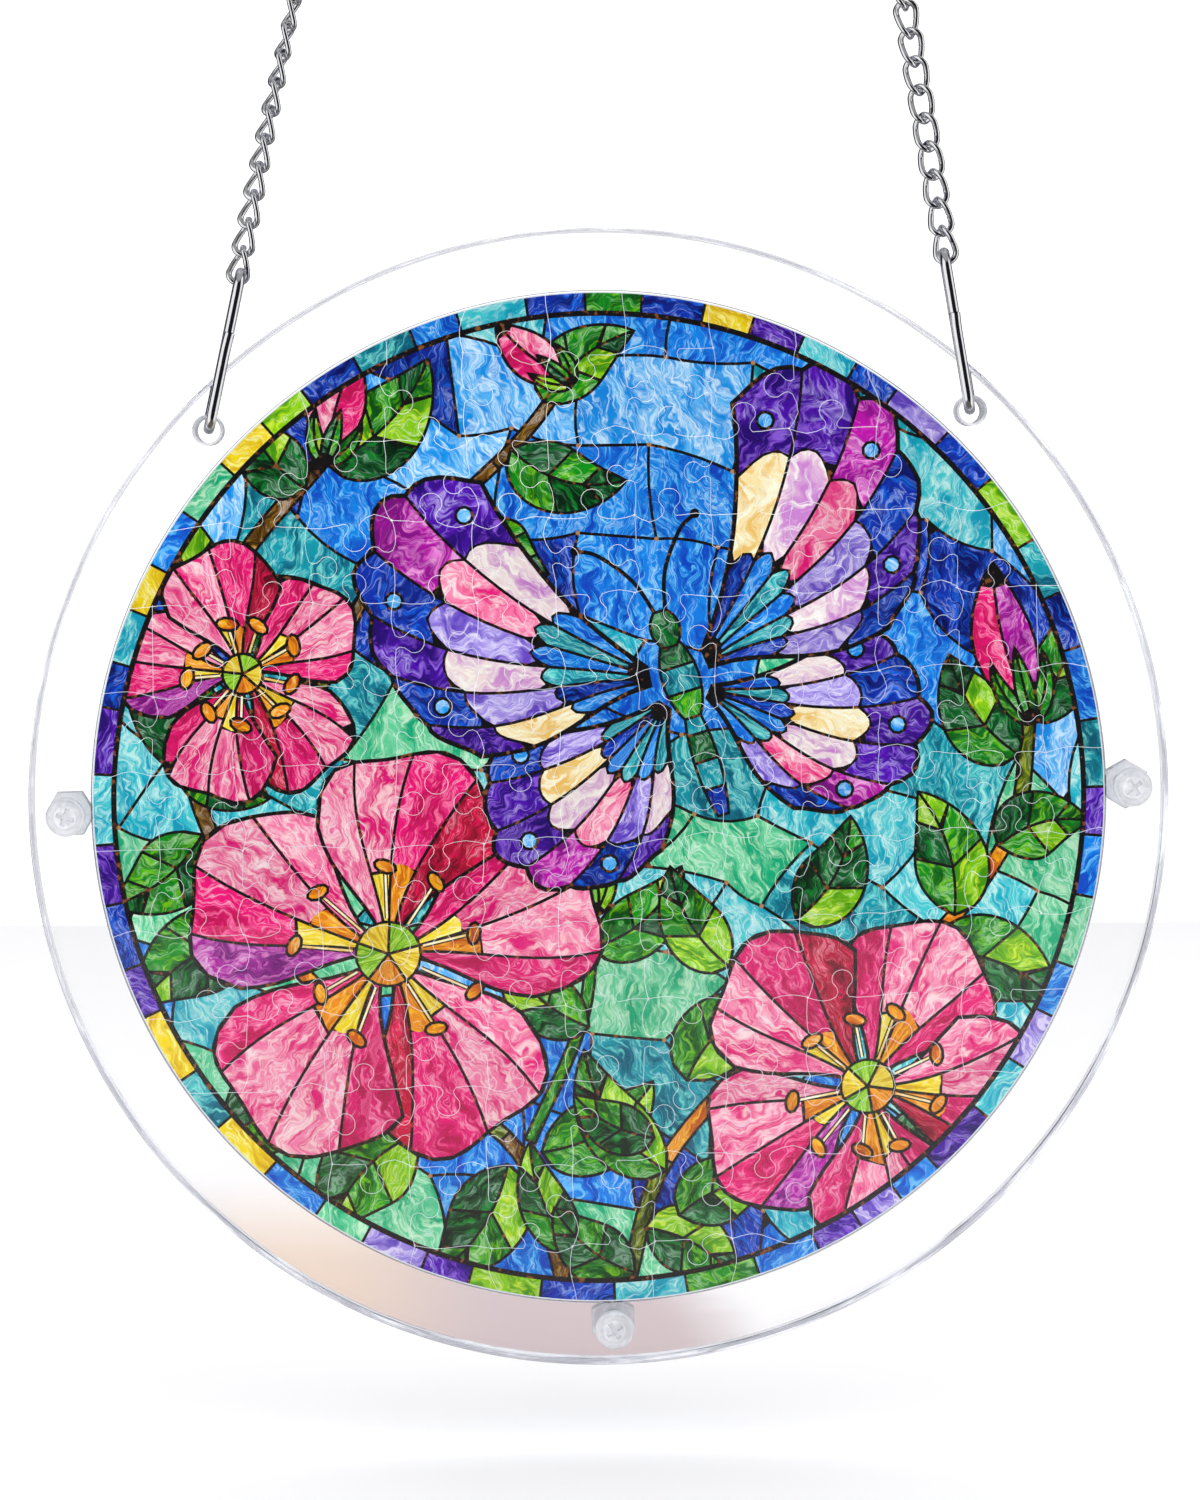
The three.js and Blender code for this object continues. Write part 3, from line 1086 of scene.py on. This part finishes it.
def paintWing(wing, hand, number):  # the hand is -1 or 1, for the two sides of the body
    centre = np.array(butterfly["centre"], float)
    heading = math.radians(butterfly["heading"] + hand * wing["turn"])
    spread = math.radians(wing["spread"])
    keys = wing["rim"]
    dent = butterfly["scallop"]
    root = centre + polar(heading, 2.5)

    def at(side, reach):  # side runs from -1, the wing's front edge, to 1
        place = (side + 1) / 2 * (len(keys) - 1)
        i = min(int(place), len(keys) - 2)
        ease = place - i
        ease = ease * ease * (3 - 2 * ease)
        rim = wing["length"] * (keys[i] + (keys[i + 1] - keys[i]) * ease)
        bow = 0.5 + 0.5 * math.sin(math.pi / 2 * min(1, 1.25 * reach))
        turn = side * spread * bow + 0.1 * math.sin(math.pi * reach)
        return root + polar(heading + hand * turn, rim * reach)

    def outline(first, last, low, high):
        out = [at(first, reach) for reach in np.linspace(low, high, 6)]
        rim = []
        for k in np.linspace(0, 1, 7)[1:-1]:
            scallop = high + dent * math.sin(math.pi * k)
            rim.append(at(first + (last - first) * k, scallop))
        back = [at(last, reach) for reach in np.linspace(high, low, 6)]
        for k in np.linspace(0, 1, 5)[1:-1]:
            scallop = low + dent * math.sin(math.pi * k) * (low > 0.2)
            back.append(at(last + (first - last) * k, scallop))
        return out + rim + back

    panes = butterfly["panes"]
    grain = ("fan", *root)
    splits = [-1 + 2 * (i / panes) for i in range(panes + 1)]
    whole = [at(-1, reach) for reach in np.linspace(0.1, 1, 9)]
    for first, last in zip(splits, splits[1:]):
        for k in np.linspace(0, 1, 7)[:-1]:
            whole.append(at(first + (last - first) * k, 1 + dent * math.sin(math.pi * k)))
    whole += [at(1, reach) for reach in np.linspace(1, 0.1, 9)]
    leadUnder(whole, 0.3)
    for low, high, tones in butterfly["bands"]:
        for i, (first, last) in enumerate(zip(splits, splits[1:])):
            pane(outline(first, last, low, high), tones[(i + number) % len(tones)], grain)
    for i, (first, last) in enumerate(zip(splits, splits[1:])):  # pale spots in the outer band
        if i % 2 == 0:
            spot = circle(1.5, 9) + at((first + last) / 2, 0.9)
            leadUnder(spot)
            pane(spot, "sky", grain)


def paintButterfly():
    pairs = [(wing, hand) for wing in butterfly["wings"] for hand in (-1, 1)]
    for number, (wing, hand) in enumerate(pairs):
        paintWing(wing, hand, number)
    centre = np.array(butterfly["centre"], float)
    heading = math.radians(butterfly["heading"])
    along, across = polar(heading, 1), polar(heading + math.pi / 2, 1)
    for side in (1, -1):
        keys = [centre + along * a + across * side * b for a, b in butterfly["feeler"]]
        middle = smoothLine(keys, 6)
        paint(ribbon(middle, 0.72), "lead")
        paint(circle(0.9, 8) + middle[-1], "lead")
    for low, high, half, tones in butterfly["parts"]:
        steps = np.linspace(0, 1, 13)
        shape = [math.sin(math.pi * (0.08 + 0.84 * t)) ** 0.6 * half for t in steps]
        left = [centre + along * (low + (high - low) * t) + across * w for t, w in zip(steps, shape)]
        right = [centre + along * (low + (high - low) * t) - across * w for t, w in zip(steps, shape)]
        leadUnder(left + right[::-1])
        size = 12 // len(tones)
        for i, tone in enumerate(tones):
            rows = slice(i * size, (i + 1) * size + 1)
            pane(left[rows] + right[rows][::-1], tone, ("flat", heading))


def paintMotifs():
    stemTones = ["bark", "amber", "olive", "bark"]
    greens = ["forest", "leaf", "forest", "leaf", "lime"]
    leftStem = [(-8, -88), (-16, -62), (-38, -44), (-60, -20), (-72, 10), (-64, 40), (-46, 62)]
    paintStem(leftStem, 2.6, stemTones)
    paintStem([(2, -88), (10, -64), (30, -44), (54, -30), (72, -8), (76, 14)], 2.6, stemTones)
    paintStem([(-64, 6), (-48, 22), (-38, 40), (-14, 62), (-4, 74)], 2.0, stemTones)
    paintStem([(-14, -60), (-4, -38), (-2, -18)], 2.0, ["olive", "leaf", "bark"])
    leaves = [  # base, tip, width, bend
        ((-70, 6), (-84, 34), 15, -0.06), ((-66, 34), (-74, 58), 13, 0.1),
        ((-66, 30), (-42, 34), 13, 0.12), ((-50, 56), (-60, 70), 11, 0.1),
        ((-46, 60), (-28, 78), 14, -0.1), ((-40, 42), (-22, 38), 11, 0.1),
        ((-24, 54), (-30, 36), 9, -0.1), ((-14, 62), (6, 56), 12, -0.14), ((-8, 70), (8, 82), 11, 0.1),
        ((-70, -4), (-86, -16), 13, 0.1), ((-62, -22), (-82, -34), 15, -0.1),
        ((-56, -48), (-70, -58), 15, 0.1), ((-34, -58), (-50, -76), 16, -0.12),
        ((-18, -64), (-32, -84), 14, 0.1), ((-12, -62), (8, -50), 13, -0.12),
        ((-6, -80), (-14, -60), 9, 0.1), ((6, -76), (22, -86), 12, 0.1),
        ((10, -66), (-4, -44), 12, 0.12), ((-3, -40), (-18, -24), 11, 0.12),
        ((-2, -26), (14, -12), 11, -0.12), ((58, -28), (80, -38), 15, 0.1),
        ((62, -22), (56, 0), 13, -0.1), ((70, -10), (86, -6), 12, 0.12), ((74, 6), (62, 24), 13, 0.1),
        ((76, 12), (84, 34), 11, -0.1), ((50, -66), (64, -60), 12, 0.1),
        ((38, -76), (54, -74), 12, 0.1), ((22, -30), (12, -12), 11, 0.1),
        ((34, -22), (44, -4), 12, -0.12), ((12, -74), (30, -68), 12, 0.1),
        ((8, -60), (-6, -52), 9, 0.1), ((14, -50), (30, -36), 13, 0.12),
        ((-20, 50), (-8, 40), 11, -0.12), ((-72, 12), (-58, 2), 12, -0.1),
        ((-44, -54), (-62, -42), 13, 0.1), ((4, -84), (-10, -72), 11, 0.1),
    ]
    for base, tip, width, bend in leaves:
        paintLeaf(base, tip, width, bend, greens)
    paintBud((-46, 62), (-40, 80), 10, 0.05, ["rose", "blush", "ruby"])
    paintBud((-4, 74), (-16, 84), 8, 0.05, ["rose", "blush"])
    paintBud((76, 14), (70, 40), 11, 0.06, ["rose", "blush", "orchid"])
    paintBud((-2, -18), (-6, 4), 11, 0.05, ["rose", "blush", "ruby"])
    pinks = [
        ("rose", "blush", "blush", "rose"),
        ("ruby", "rose", "blush", "blush"),
        ("blush", "blush", "rose", "orchid"),
    ]
    for centre, size, turn in (((-62, 24), 23, 0.5), ((46, -52), 31, 1.1), ((-38, -26), 37, 0.25)):
        paintBlossom(centre, size, turn, pinks)
    paintButterfly()


def paintBorder():
    radius, width = puzzle["radius"], puzzle["borderWidth"]
    inner = radius - width - puzzle["outline"]
    for within, tone in ((inner - puzzle["ringLead"], "lead"), (radius - puzzle["outline"], "paper")):
        for start in (0, math.pi):
            ring = arc(radius + 4, start, start + math.pi, 90)
            paint(np.concatenate([ring, arc(within, start + math.pi, start, 90)]), tone)
    count = puzzle["borderSegments"]
    stops = np.cumsum([chance.uniform(0.75, 1.25) for _ in range(count)])
    stops = stops / stops[-1] * 2 * math.pi
    gap = puzzle["borderLead"] / 2 / radius
    tone = ""
    for start, end in zip([0, *stops], stops):
        tone = chance.choice([t for t in puzzle["borderTones"] if t != tone])
        outer = arc(radius - puzzle["outline"], start + gap, end - gap, 5)
        segment = np.concatenate([outer, arc(inner, end - gap, start + gap, 5)])
        paint(segment, tone, ("flat", (start + end) / 2 + chance.uniform(0.4, 2.4)))


# Jigsaw cuts
cuts = {
    "wave": 0.9,
    "middle": (0.45, 0.55),  # where a knob stands, as a share of the side
    "knobRadius": (1.8, 2.15),
    "neck": (0.7, 1.2),
    "knobAngles": (200, 155, 112, 68, 25, -20),
    "plainEdge": 8,  # so near to the rim, sides have no knobs
    "leastShare": 0.45,  # a cell with less of itself on the disc joins its neighbour
}


def cutLine(first, second, knob):
    run = second - first
    length = np.linalg.norm(run)
    along = run / length
    across = np.array([-along[1], along[0]]) * chance.choice((-1, 1))
    wave = chance.uniform(-cuts["wave"], cuts["wave"])
    if not knob:
        keys = [(-0.02, 0), (0.3, wave), (0.7, -wave), (1.02, 0)]
        local = smoothLine([(a * length, b) for a, b in keys], 4)
    else:
        middle = length * chance.uniform(*cuts["middle"])
        size = chance.uniform(*cuts["knobRadius"])
        high = size + chance.uniform(*cuts["neck"])
        keys = [(-0.02 * length, 0), (0.2 * length, wave - 0.5), (middle - size * 0.62, -0.1)]
        keys.append((middle - size * 0.5, high - size * 0.86))
        for angle in cuts["knobAngles"]:
            turn = math.radians(angle)
            keys.append((middle + size * math.cos(turn), high + size * 0.92 * math.sin(turn)))
        keys.append((middle + size * 0.5, high - size * 0.86))
        keys += [(middle + size * 0.62, -0.1), (0.8 * length, -wave - 0.5), (1.02 * length, 0)]
        local = smoothLine(keys, 2)
    return first + local[:, :1] * along + local[:, 1:] * across


def cutLines():
    radius, size, span = puzzle["radius"], puzzle["pieceSize"], puzzle["cornerStray"]
    reach = math.ceil(radius / size) + 1
    corners = {}
    for i in range(-reach, reach + 1):
        for j in range(-reach, reach + 1):
            stray = np.array([chance.uniform(-span, span), chance.uniform(-span, span)])
            corners[i, j] = (np.array([i, j]) + (0.5, 0.5)) * size + stray
    skipped = set()
    for i in range(-reach, reach):
        for j in range(-reach, reach):
            ring = [corners[i + a, j + b] for a, b in ((0, 0), (1, 0), (1, 1), (0, 1))]
            grid = [ring[0] + (ring[1] - ring[0]) * a + (ring[3] - ring[0]) * b
                    for a in np.linspace(0.1, 0.9, 5) for b in np.linspace(0.1, 0.9, 5)]
            inside = sum(np.linalg.norm(p) < radius for p in grid) / 25
            if 0 < inside < cuts["leastShare"]:
                middle = sum(ring) / 4
                if abs(middle[0]) > abs(middle[1]):
                    left = i + 1 if middle[0] < 0 else i
                    skipped.add(((left, j), (left, j + 1)))
                else:
                    low = j + 1 if middle[1] < 0 else j
                    skipped.add(((i, low), (i + 1, low)))
    for (i, j), corner in corners.items():
        for other in ((i + 1, j), (i, j + 1)):
            if other not in corners or ((i, j), other) in skipped:
                continue
            end = corners[other]
            if min(np.linalg.norm(corner), np.linalg.norm(end)) > radius + 0.5:
                continue
            knob = np.linalg.norm((corner + end) / 2) < radius - cuts["plainEdge"]
            yield cutLine(corner, end, knob)


def grainOf(x, z, grain, seed):
    if grain[0] == "flat":
        cos, sin = math.cos(grain[1]), math.sin(grain[1])
        return x * cos + z * sin, z * cos - x * sin
    dx, dz = x - grain[1], z - grain[2]
    reach = np.hypot(dx, dz)
    heading = np.arctan2(dz, dx) - math.radians(seed)
    heading = (heading + math.pi) % (2 * math.pi)
    return reach, heading * 24


def isInside(points, outline):  # winding number, so a crossed outline fills only once
    start, end = outline, np.roll(outline, -1, axis=0)
    if signedArea(outline) < 0:
        start, end = end, start
    x, z = points[:, :1], points[:, 1:]
    left = (end[:, 0] - start[:, 0]) * (z - start[:, 1]) - (x - start[:, 0]) * (end[:, 1] - start[:, 1])
    rising = (start[:, 1] <= z) & (z < end[:, 1]) & (left > 0)
    falling = (end[:, 1] <= z) & (z < start[:, 1]) & (left < 0)
    return rising.sum(axis=1) > falling.sum(axis=1)


def islandsOf(triangles, count):  # a number for the piece that each triangle belongs to
    parent = list(range(count))

    def root(i):
        while parent[i] != i:
            parent[i] = parent[parent[i]]
            i = parent[i]
        return i

    for a, b, c in triangles:
        ra = root(a)
        parent[root(b)] = ra
        parent[root(c)] = ra
    return np.array([root(a) for a, b, c in triangles])


def topsOf(middles, outlines):  # the topmost outline over each point, or -1
    tops = np.full(len(middles), -1)
    for number in reversed(range(len(outlines))):
        low, high = outlines[number].min(axis=0), outlines[number].max(axis=0)
        near = (tops < 0) & (middles > low).all(axis=1) & (middles < high).all(axis=1)
        near = np.flatnonzero(near)
        tops[near[isInside(middles[near], outlines[number])]] = number
    return tops


def layOut():  # the print's points, its triangles and the layer on top of each
    paint(circle(puzzle["radius"], 256), "lead")
    paintBackground()
    paintMotifs()
    paintBorder()
    outlines = [layer[0] for layer in layers] + [ribbon(line, puzzle["cut"]) for line in cutLines()]
    points, faces = [], []
    for outline in outlines:
        if signedArea(outline) < 0:
            outline = outline[::-1]
        faces.append(list(range(len(points), len(points) + len(outline))))
        points += [Vector(p) for p in outline]
    points, _, triangles, *_ = delaunay_2d_cdt(points, [], faces, 1, 1e-4)
    flat = np.array(points)
    kept = np.array(triangles)
    middles = flat[kept].mean(axis=1)
    tops = topsOf(middles, outlines)
    printed = (tops >= 0) & (tops < len(layers)) & isInside(middles, outlines[0])
    kept, tops = kept[printed], tops[printed]
    names, inverse = np.unique(islandsOf(kept.tolist(), len(flat)), return_inverse=True)
    a, b, c = (flat[kept[:, k]] for k in range(3))
    doubled = (b[:, 0] - a[:, 0]) * (c[:, 1] - a[:, 1]) - (b[:, 1] - a[:, 1]) * (c[:, 0] - a[:, 0])
    sums = np.bincount(inverse, np.abs(doubled) / 2)
    large = sums[inverse] > puzzle["smallest"]
    used, renumbered = np.unique(kept[large], return_inverse=True)
    print(f"print: {len(names)} pieces, {large.sum()} faces")
    return flat[used], renumbered.reshape(-1, 3), tops[large]


def makePuzzle():
    flat, kept, tops = layOut()
    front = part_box("puzzle")[0][1]
    mesh = bpy.data.meshes.new("printed_puzzle")
    mesh.from_pydata([(x * mm, front, z * mm) for x, z in flat], [], kept.tolist())
    corners = flat[kept]
    grains = np.zeros((len(kept), 3, 3))
    tones = {name: np.zeros((len(kept), 3, 4)) for name in toneNames}
    kinds = np.zeros((len(kept), 3))
    for top in np.unique(tops):
        rows = tops == top
        _, tone, grain, seed = layers[top]
        x, z = corners[rows][:, :, 0], corners[rows][:, :, 1]
        along, across = grainOf(x, z, grain, seed)
        grains[rows] = np.stack([along, across, np.full_like(along, seed)], axis=2)
        if tone in glassTones:
            shift = chance.uniform(0.9, 1.1)
            for name, value in zip(tones, glassTones[tone]):
                tones[name][rows] = [*(min(c * shift, 1) for c in linear(value)), 1]
        else:
            kinds[rows] = {"lead": 1, "solder": 2, "paper": 3}[tone]
    columns = [("grain", "FLOAT_VECTOR", "vector", grains), ("kind", "FLOAT", "value", kinds)]
    columns += [(name, "FLOAT_COLOR", "color", values) for name, values in tones.items()]
    for name, kind, field, values in columns:
        mesh.attributes.new(name, kind, "CORNER").data.foreach_set(field, values.ravel())
    piece = bpy.data.objects.new("printed_puzzle", mesh)
    bpy.context.collection.objects.link(piece)
    mesh.transform(Matrix.Translation((discCentre.x, 0, discCentre.z)) @ Matrix.Rotation(-discTurn, 4, "Y"))
    dress(piece, ["puzzle"], "printed_puzzle", printInk(), boardCore())
    solid = {"thickness": puzzle["thickness"] * mm, "offset": -1, "material_offset_rim": 1}
    applyModifier(piece, "SOLIDIFY", solid)
    smoothed(piece, 30)


inkLook = {
    "drift": (5.44, 7.48, 0),  # how far the streaks wander, in millimetres
    "lead": (0.006, 0.005, 0.005, 1),
    "copper": (0.28, 0.09, 0.02, 1),
    "solder": (0.42, 0.2, 0.08, 1),
    "paper": (0.7, 0.74, 0.76, 1),
    "depth": 1.2,  # a gamma that makes the glasses deeper
    "richness": 1.12,  # of their colours
    "rough": 0.24,
}


def printInk():
    material, surface = newMaterial("printInk")
    grain = attributeOf(surface, "grain", "Vector")
    deep, middle, light = (attributeOf(surface, name, "Color") for name in toneNames)
    kind = attributeOf(surface, "kind")
    wander = grain.noise(0.2, 2, 0.5, output="Color").vector("SUBTRACT", (0.5, 0.5, 0.5))
    bent = grain.vector("ADD", wander.scaled(*inkLook["drift"]))
    clouds = bent.scaled(0.1, 0.3, 1).noise(1.0, 4, 0.6)
    streaks = bent.scaled(0.28, 1.15, 1).noise(1.0, 5, 0.62, 0.5)
    threads = bent.scaled(0.3, 2.6, 1).noise(1.0, 3, 0.6, 0.3)
    wisps = (1 - abs(bent.scaled(0.22, 0.75, 1).noise(1.0, 3, 0.55, 0.8) * 2 - 1)) ** 14
    colour = clouds.between(0.36, 0.58).blend(deep, middle)
    colour = (streaks.between(0.47, 0.66) * 0.85).blend(colour, light)
    colour = (threads.between(0.56, 0.7) * 0.5).blend(colour, deep)
    white = light.scaled(0.5, 0.5, 0.5).vector("ADD", (0.45, 0.46, 0.47))
    colour = (wisps * clouds.between(0.4, 0.6) * 0.75).blend(colour, white)
    colour = surface.node("ShaderNodeGamma", None, {0: colour, 1: inkLook["depth"]})
    richer = {"Saturation": inkLook["richness"], "Color": colour}
    colour = surface.node("ShaderNodeHueSaturation", None, richer)
    place = placeOf(surface)
    glints = place.noise(900, 2, 0.5).between(0.58, 0.68)
    lead = (glints * 0.75).blend(inkLook["lead"], inkLook["copper"])
    lead = kind.calc("GREATER_THAN", kind, 1.5).blend(lead, inkLook["solder"])
    lead = kind.calc("GREATER_THAN", kind, 2.5).blend(lead, inkLook["paper"])
    film = place.noise(260, 3, 0.5)
    finish(surface, plastic(surface, {
        "Base Color": kind.calc("GREATER_THAN", kind, 0.5).blend(colour, lead),
        "Roughness": inkLook["rough"] + film * 0.12,
        "Specular IOR Level": 0.25,
        "Normal": film.bumped(0.06, 0.0001),
    }))
    return material


def boardCore():
    material, surface = newMaterial("boardCore")
    fibres = placeOf(surface).scaled(1, 3, 1).noise(1400, 3, 0.6)
    finish(surface, plastic(surface, {
        "Base Color": fibres.blend((0.86, 0.87, 0.88, 1), (0.74, 0.76, 0.8, 1)),
        "Roughness": 0.5 + fibres * 0.2,
        # Painted glow: the board's cut walls glow faintly in place of light passing through the board.
        "Emission Color": (0.72, 0.76, 0.78, 1),
        "Emission Strength": 0.25,  # light passes through the board, so the cuts stay pale
    }))
    return material


makePuzzle()
print("puzzle ready")


# Camera, light and floor
view = {
    "distance": 700,
    "azimuth": -1.5,
    "elevation": 3.75,
    "aimAbove": 8.8,  # above the middle of the disc
    "lens": 95.4,
}
studio = {
    "floorDrop": 15,  # below the disc
    "floorSize": 1.7,  # metres
    "leftBox": (-1.65, -1.35, -0.5, -0.3),  # where each reflected box begins and ends, in radians
    "rightBox": (0.9, 1.15, 1.6, 2.0),
    "white": (1.3, 1.3, 1.3, 1),
    "fill": (0.72, 0.73, 0.75, 1),
    "highTint": (0.5, 0.51, 0.55, 1),
    "lowTint": (0.42, 0.38, 0.4, 1),
    "dark": (0.012, 0.01, 0.016, 1),
    "backTint": (0.26, 0.265, 0.33, 1),
    "groundTint": (0.12, 0.11, 0.1, 1),
    "floorTones": ((0.96, 0.95, 0.95, 1), (0.94, 0.93, 0.935, 1)),
    # painted light and shade for the floor seen through the plates: a peach glow and a mauve shade
    "paintedPeachGlow": (0.82, 0.65, 0.53, 1),
    "paintedMauveShade": (0.64, 0.53, 0.54, 1),
}


def makeCamera():
    data = bpy.data.cameras.new("camera")
    camera = bpy.data.objects.new("camera", data)
    bpy.context.collection.objects.link(camera)
    azimuth = math.radians(view["azimuth"])
    elevation = math.radians(view["elevation"])
    away = Vector((math.sin(azimuth), -math.cos(azimuth), 0)) * math.cos(elevation)
    away.z = math.sin(elevation)
    aim = discCentre + Vector((0, 0, view["aimAbove"] * mm))
    camera.location = aim + away * view["distance"] * mm
    camera.rotation_euler = (-away).to_track_quat("-Z", "Y").to_euler()
    data.lens = view["lens"]
    data.clip_start = 0.01
    bpy.context.scene.camera = camera


def makeWorld():
    world = bpy.data.worlds.new("studio")
    bpy.context.scene.world = world
    world.use_nodes = True
    tree = world.node_tree
    tree.nodes.clear()
    surface = Signal(tree, tree.nodes.new("ShaderNodeOutputWorld").inputs["Surface"])
    across, depth, height = surface.node("ShaderNodeTexCoord", output="Generated").axes()

    # Reflections: a wide soft box on each side with a dark gap in front, a dim top, and a
    # grey wall behind. The angle is in radians about +Z, from the front.
    angle = across.calc("ARCTAN2", across, depth * -1)
    boxes = angle.window(*studio["leftBox"]) + angle.window(*studio["rightBox"])
    boxes = boxes * (1 - abs(height).between(0.62, 0.82))
    shine = boxes.calc("MAXIMUM", boxes, height.between(0.6, 0.85) * 0.35)
    unlit = abs(angle).between(2.0, 2.6).blend(studio["dark"], studio["backTint"])
    unlit = height.between(-0.85, -0.6).blend(studio["groundTint"], unlit)
    # What shows through the clear plates: white in front and behind, grey above, below and beside
    through = abs(depth).between(0.84, 0.97) * (1 - abs(height).between(0.35, 0.65))
    dim = height.between(-0.7, 0.5).blend(studio["lowTint"], studio["highTint"])
    seen = through.blend(dim, studio["white"])
    reflected = shine.blend(unlit, (1, 1, 1, 1))
    colour = rayIs(surface, "Is Transmission Ray").blend(studio["fill"], seen)
    bounced = rayIs(surface, "Glossy Depth")
    colour = bounced.calc("GREATER_THAN", bounced, 0.5).blend(colour, reflected)
    colour = rayIs(surface, "Is Camera Ray").blend(colour, studio["white"])
    finish(surface, surface.node("ShaderNodeBackground", None, {"Color": colour, "Strength": 1.0}))


def addLamp(name, place, size, power, aim):
    data = bpy.data.lights.new(name, "AREA")
    data.shape = "RECTANGLE"
    data.size, data.size_y = size
    data.energy = power
    lamp = bpy.data.objects.new(name, data)
    bpy.context.collection.objects.link(lamp)
    lamp.location = place
    lamp.rotation_euler = (Vector(aim) - Vector(place)).to_track_quat("-Z", "Y").to_euler()
    lamp.visible_glossy = False  # the world's soft boxes stand for it in reflections


def makeFloor():
    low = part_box("front_cover")[0][2] - studio["floorDrop"] * mm
    deselectAll()
    bpy.ops.mesh.primitive_plane_add(size=studio["floorSize"], location=(0, 0, low))
    floor = startPiece("floor")
    applyPlace(floor)
    material, surface = newMaterial("floorPaintAndPaintedShade")
    place = placeOf(surface)
    tone = place.noise(14, 4, 0.6)
    across, depth, _ = place.axes()
    across = across + tone * 0.03
    # Painted light and shade: seen through the plates, the floor close behind them is painted with a warm
    # peach glow, and with a painted mauve shade on both sides, in place of the disc's shadow on the floor
    # and the room's reflection.
    paintedMauveShade = across.between(-0.045, 0.0) + (1 - across.between(-0.08, -0.06))
    close = across.window(-0.1, -0.07, 0.03, 0.055) * (1 - depth.between(0.15, 0.3))
    seen = close.blend(studio["floorTones"][0], paintedMauveShade.blend(studio["paintedPeachGlow"], studio["paintedMauveShade"]))
    plain = tone.blend(*studio["floorTones"])
    finish(surface, plastic(surface, {
        "Base Color": rayIs(surface, "Is Transmission Ray").blend(plain, seen),
        "Roughness": 0.6,
    }))
    floor.data.materials.append(material)
    floor.visible_glossy = False


makeCamera()
makeWorld()
makeFloor()
addLamp("top", (0, 0.25, 1.3), (2.2, 1.6), 14, (0, 0.1, -0.2))
addLamp("leftFront", (-1.1, -0.9, 0.35), (0.8, 1.2), 7, (0, 0, -0.15))
addLamp("rightFront", (1.1, -0.8, 0.45), (0.8, 1.2), 7, (0, 0, -0.15))
bpy.context.scene.view_settings.view_transform = "Standard"
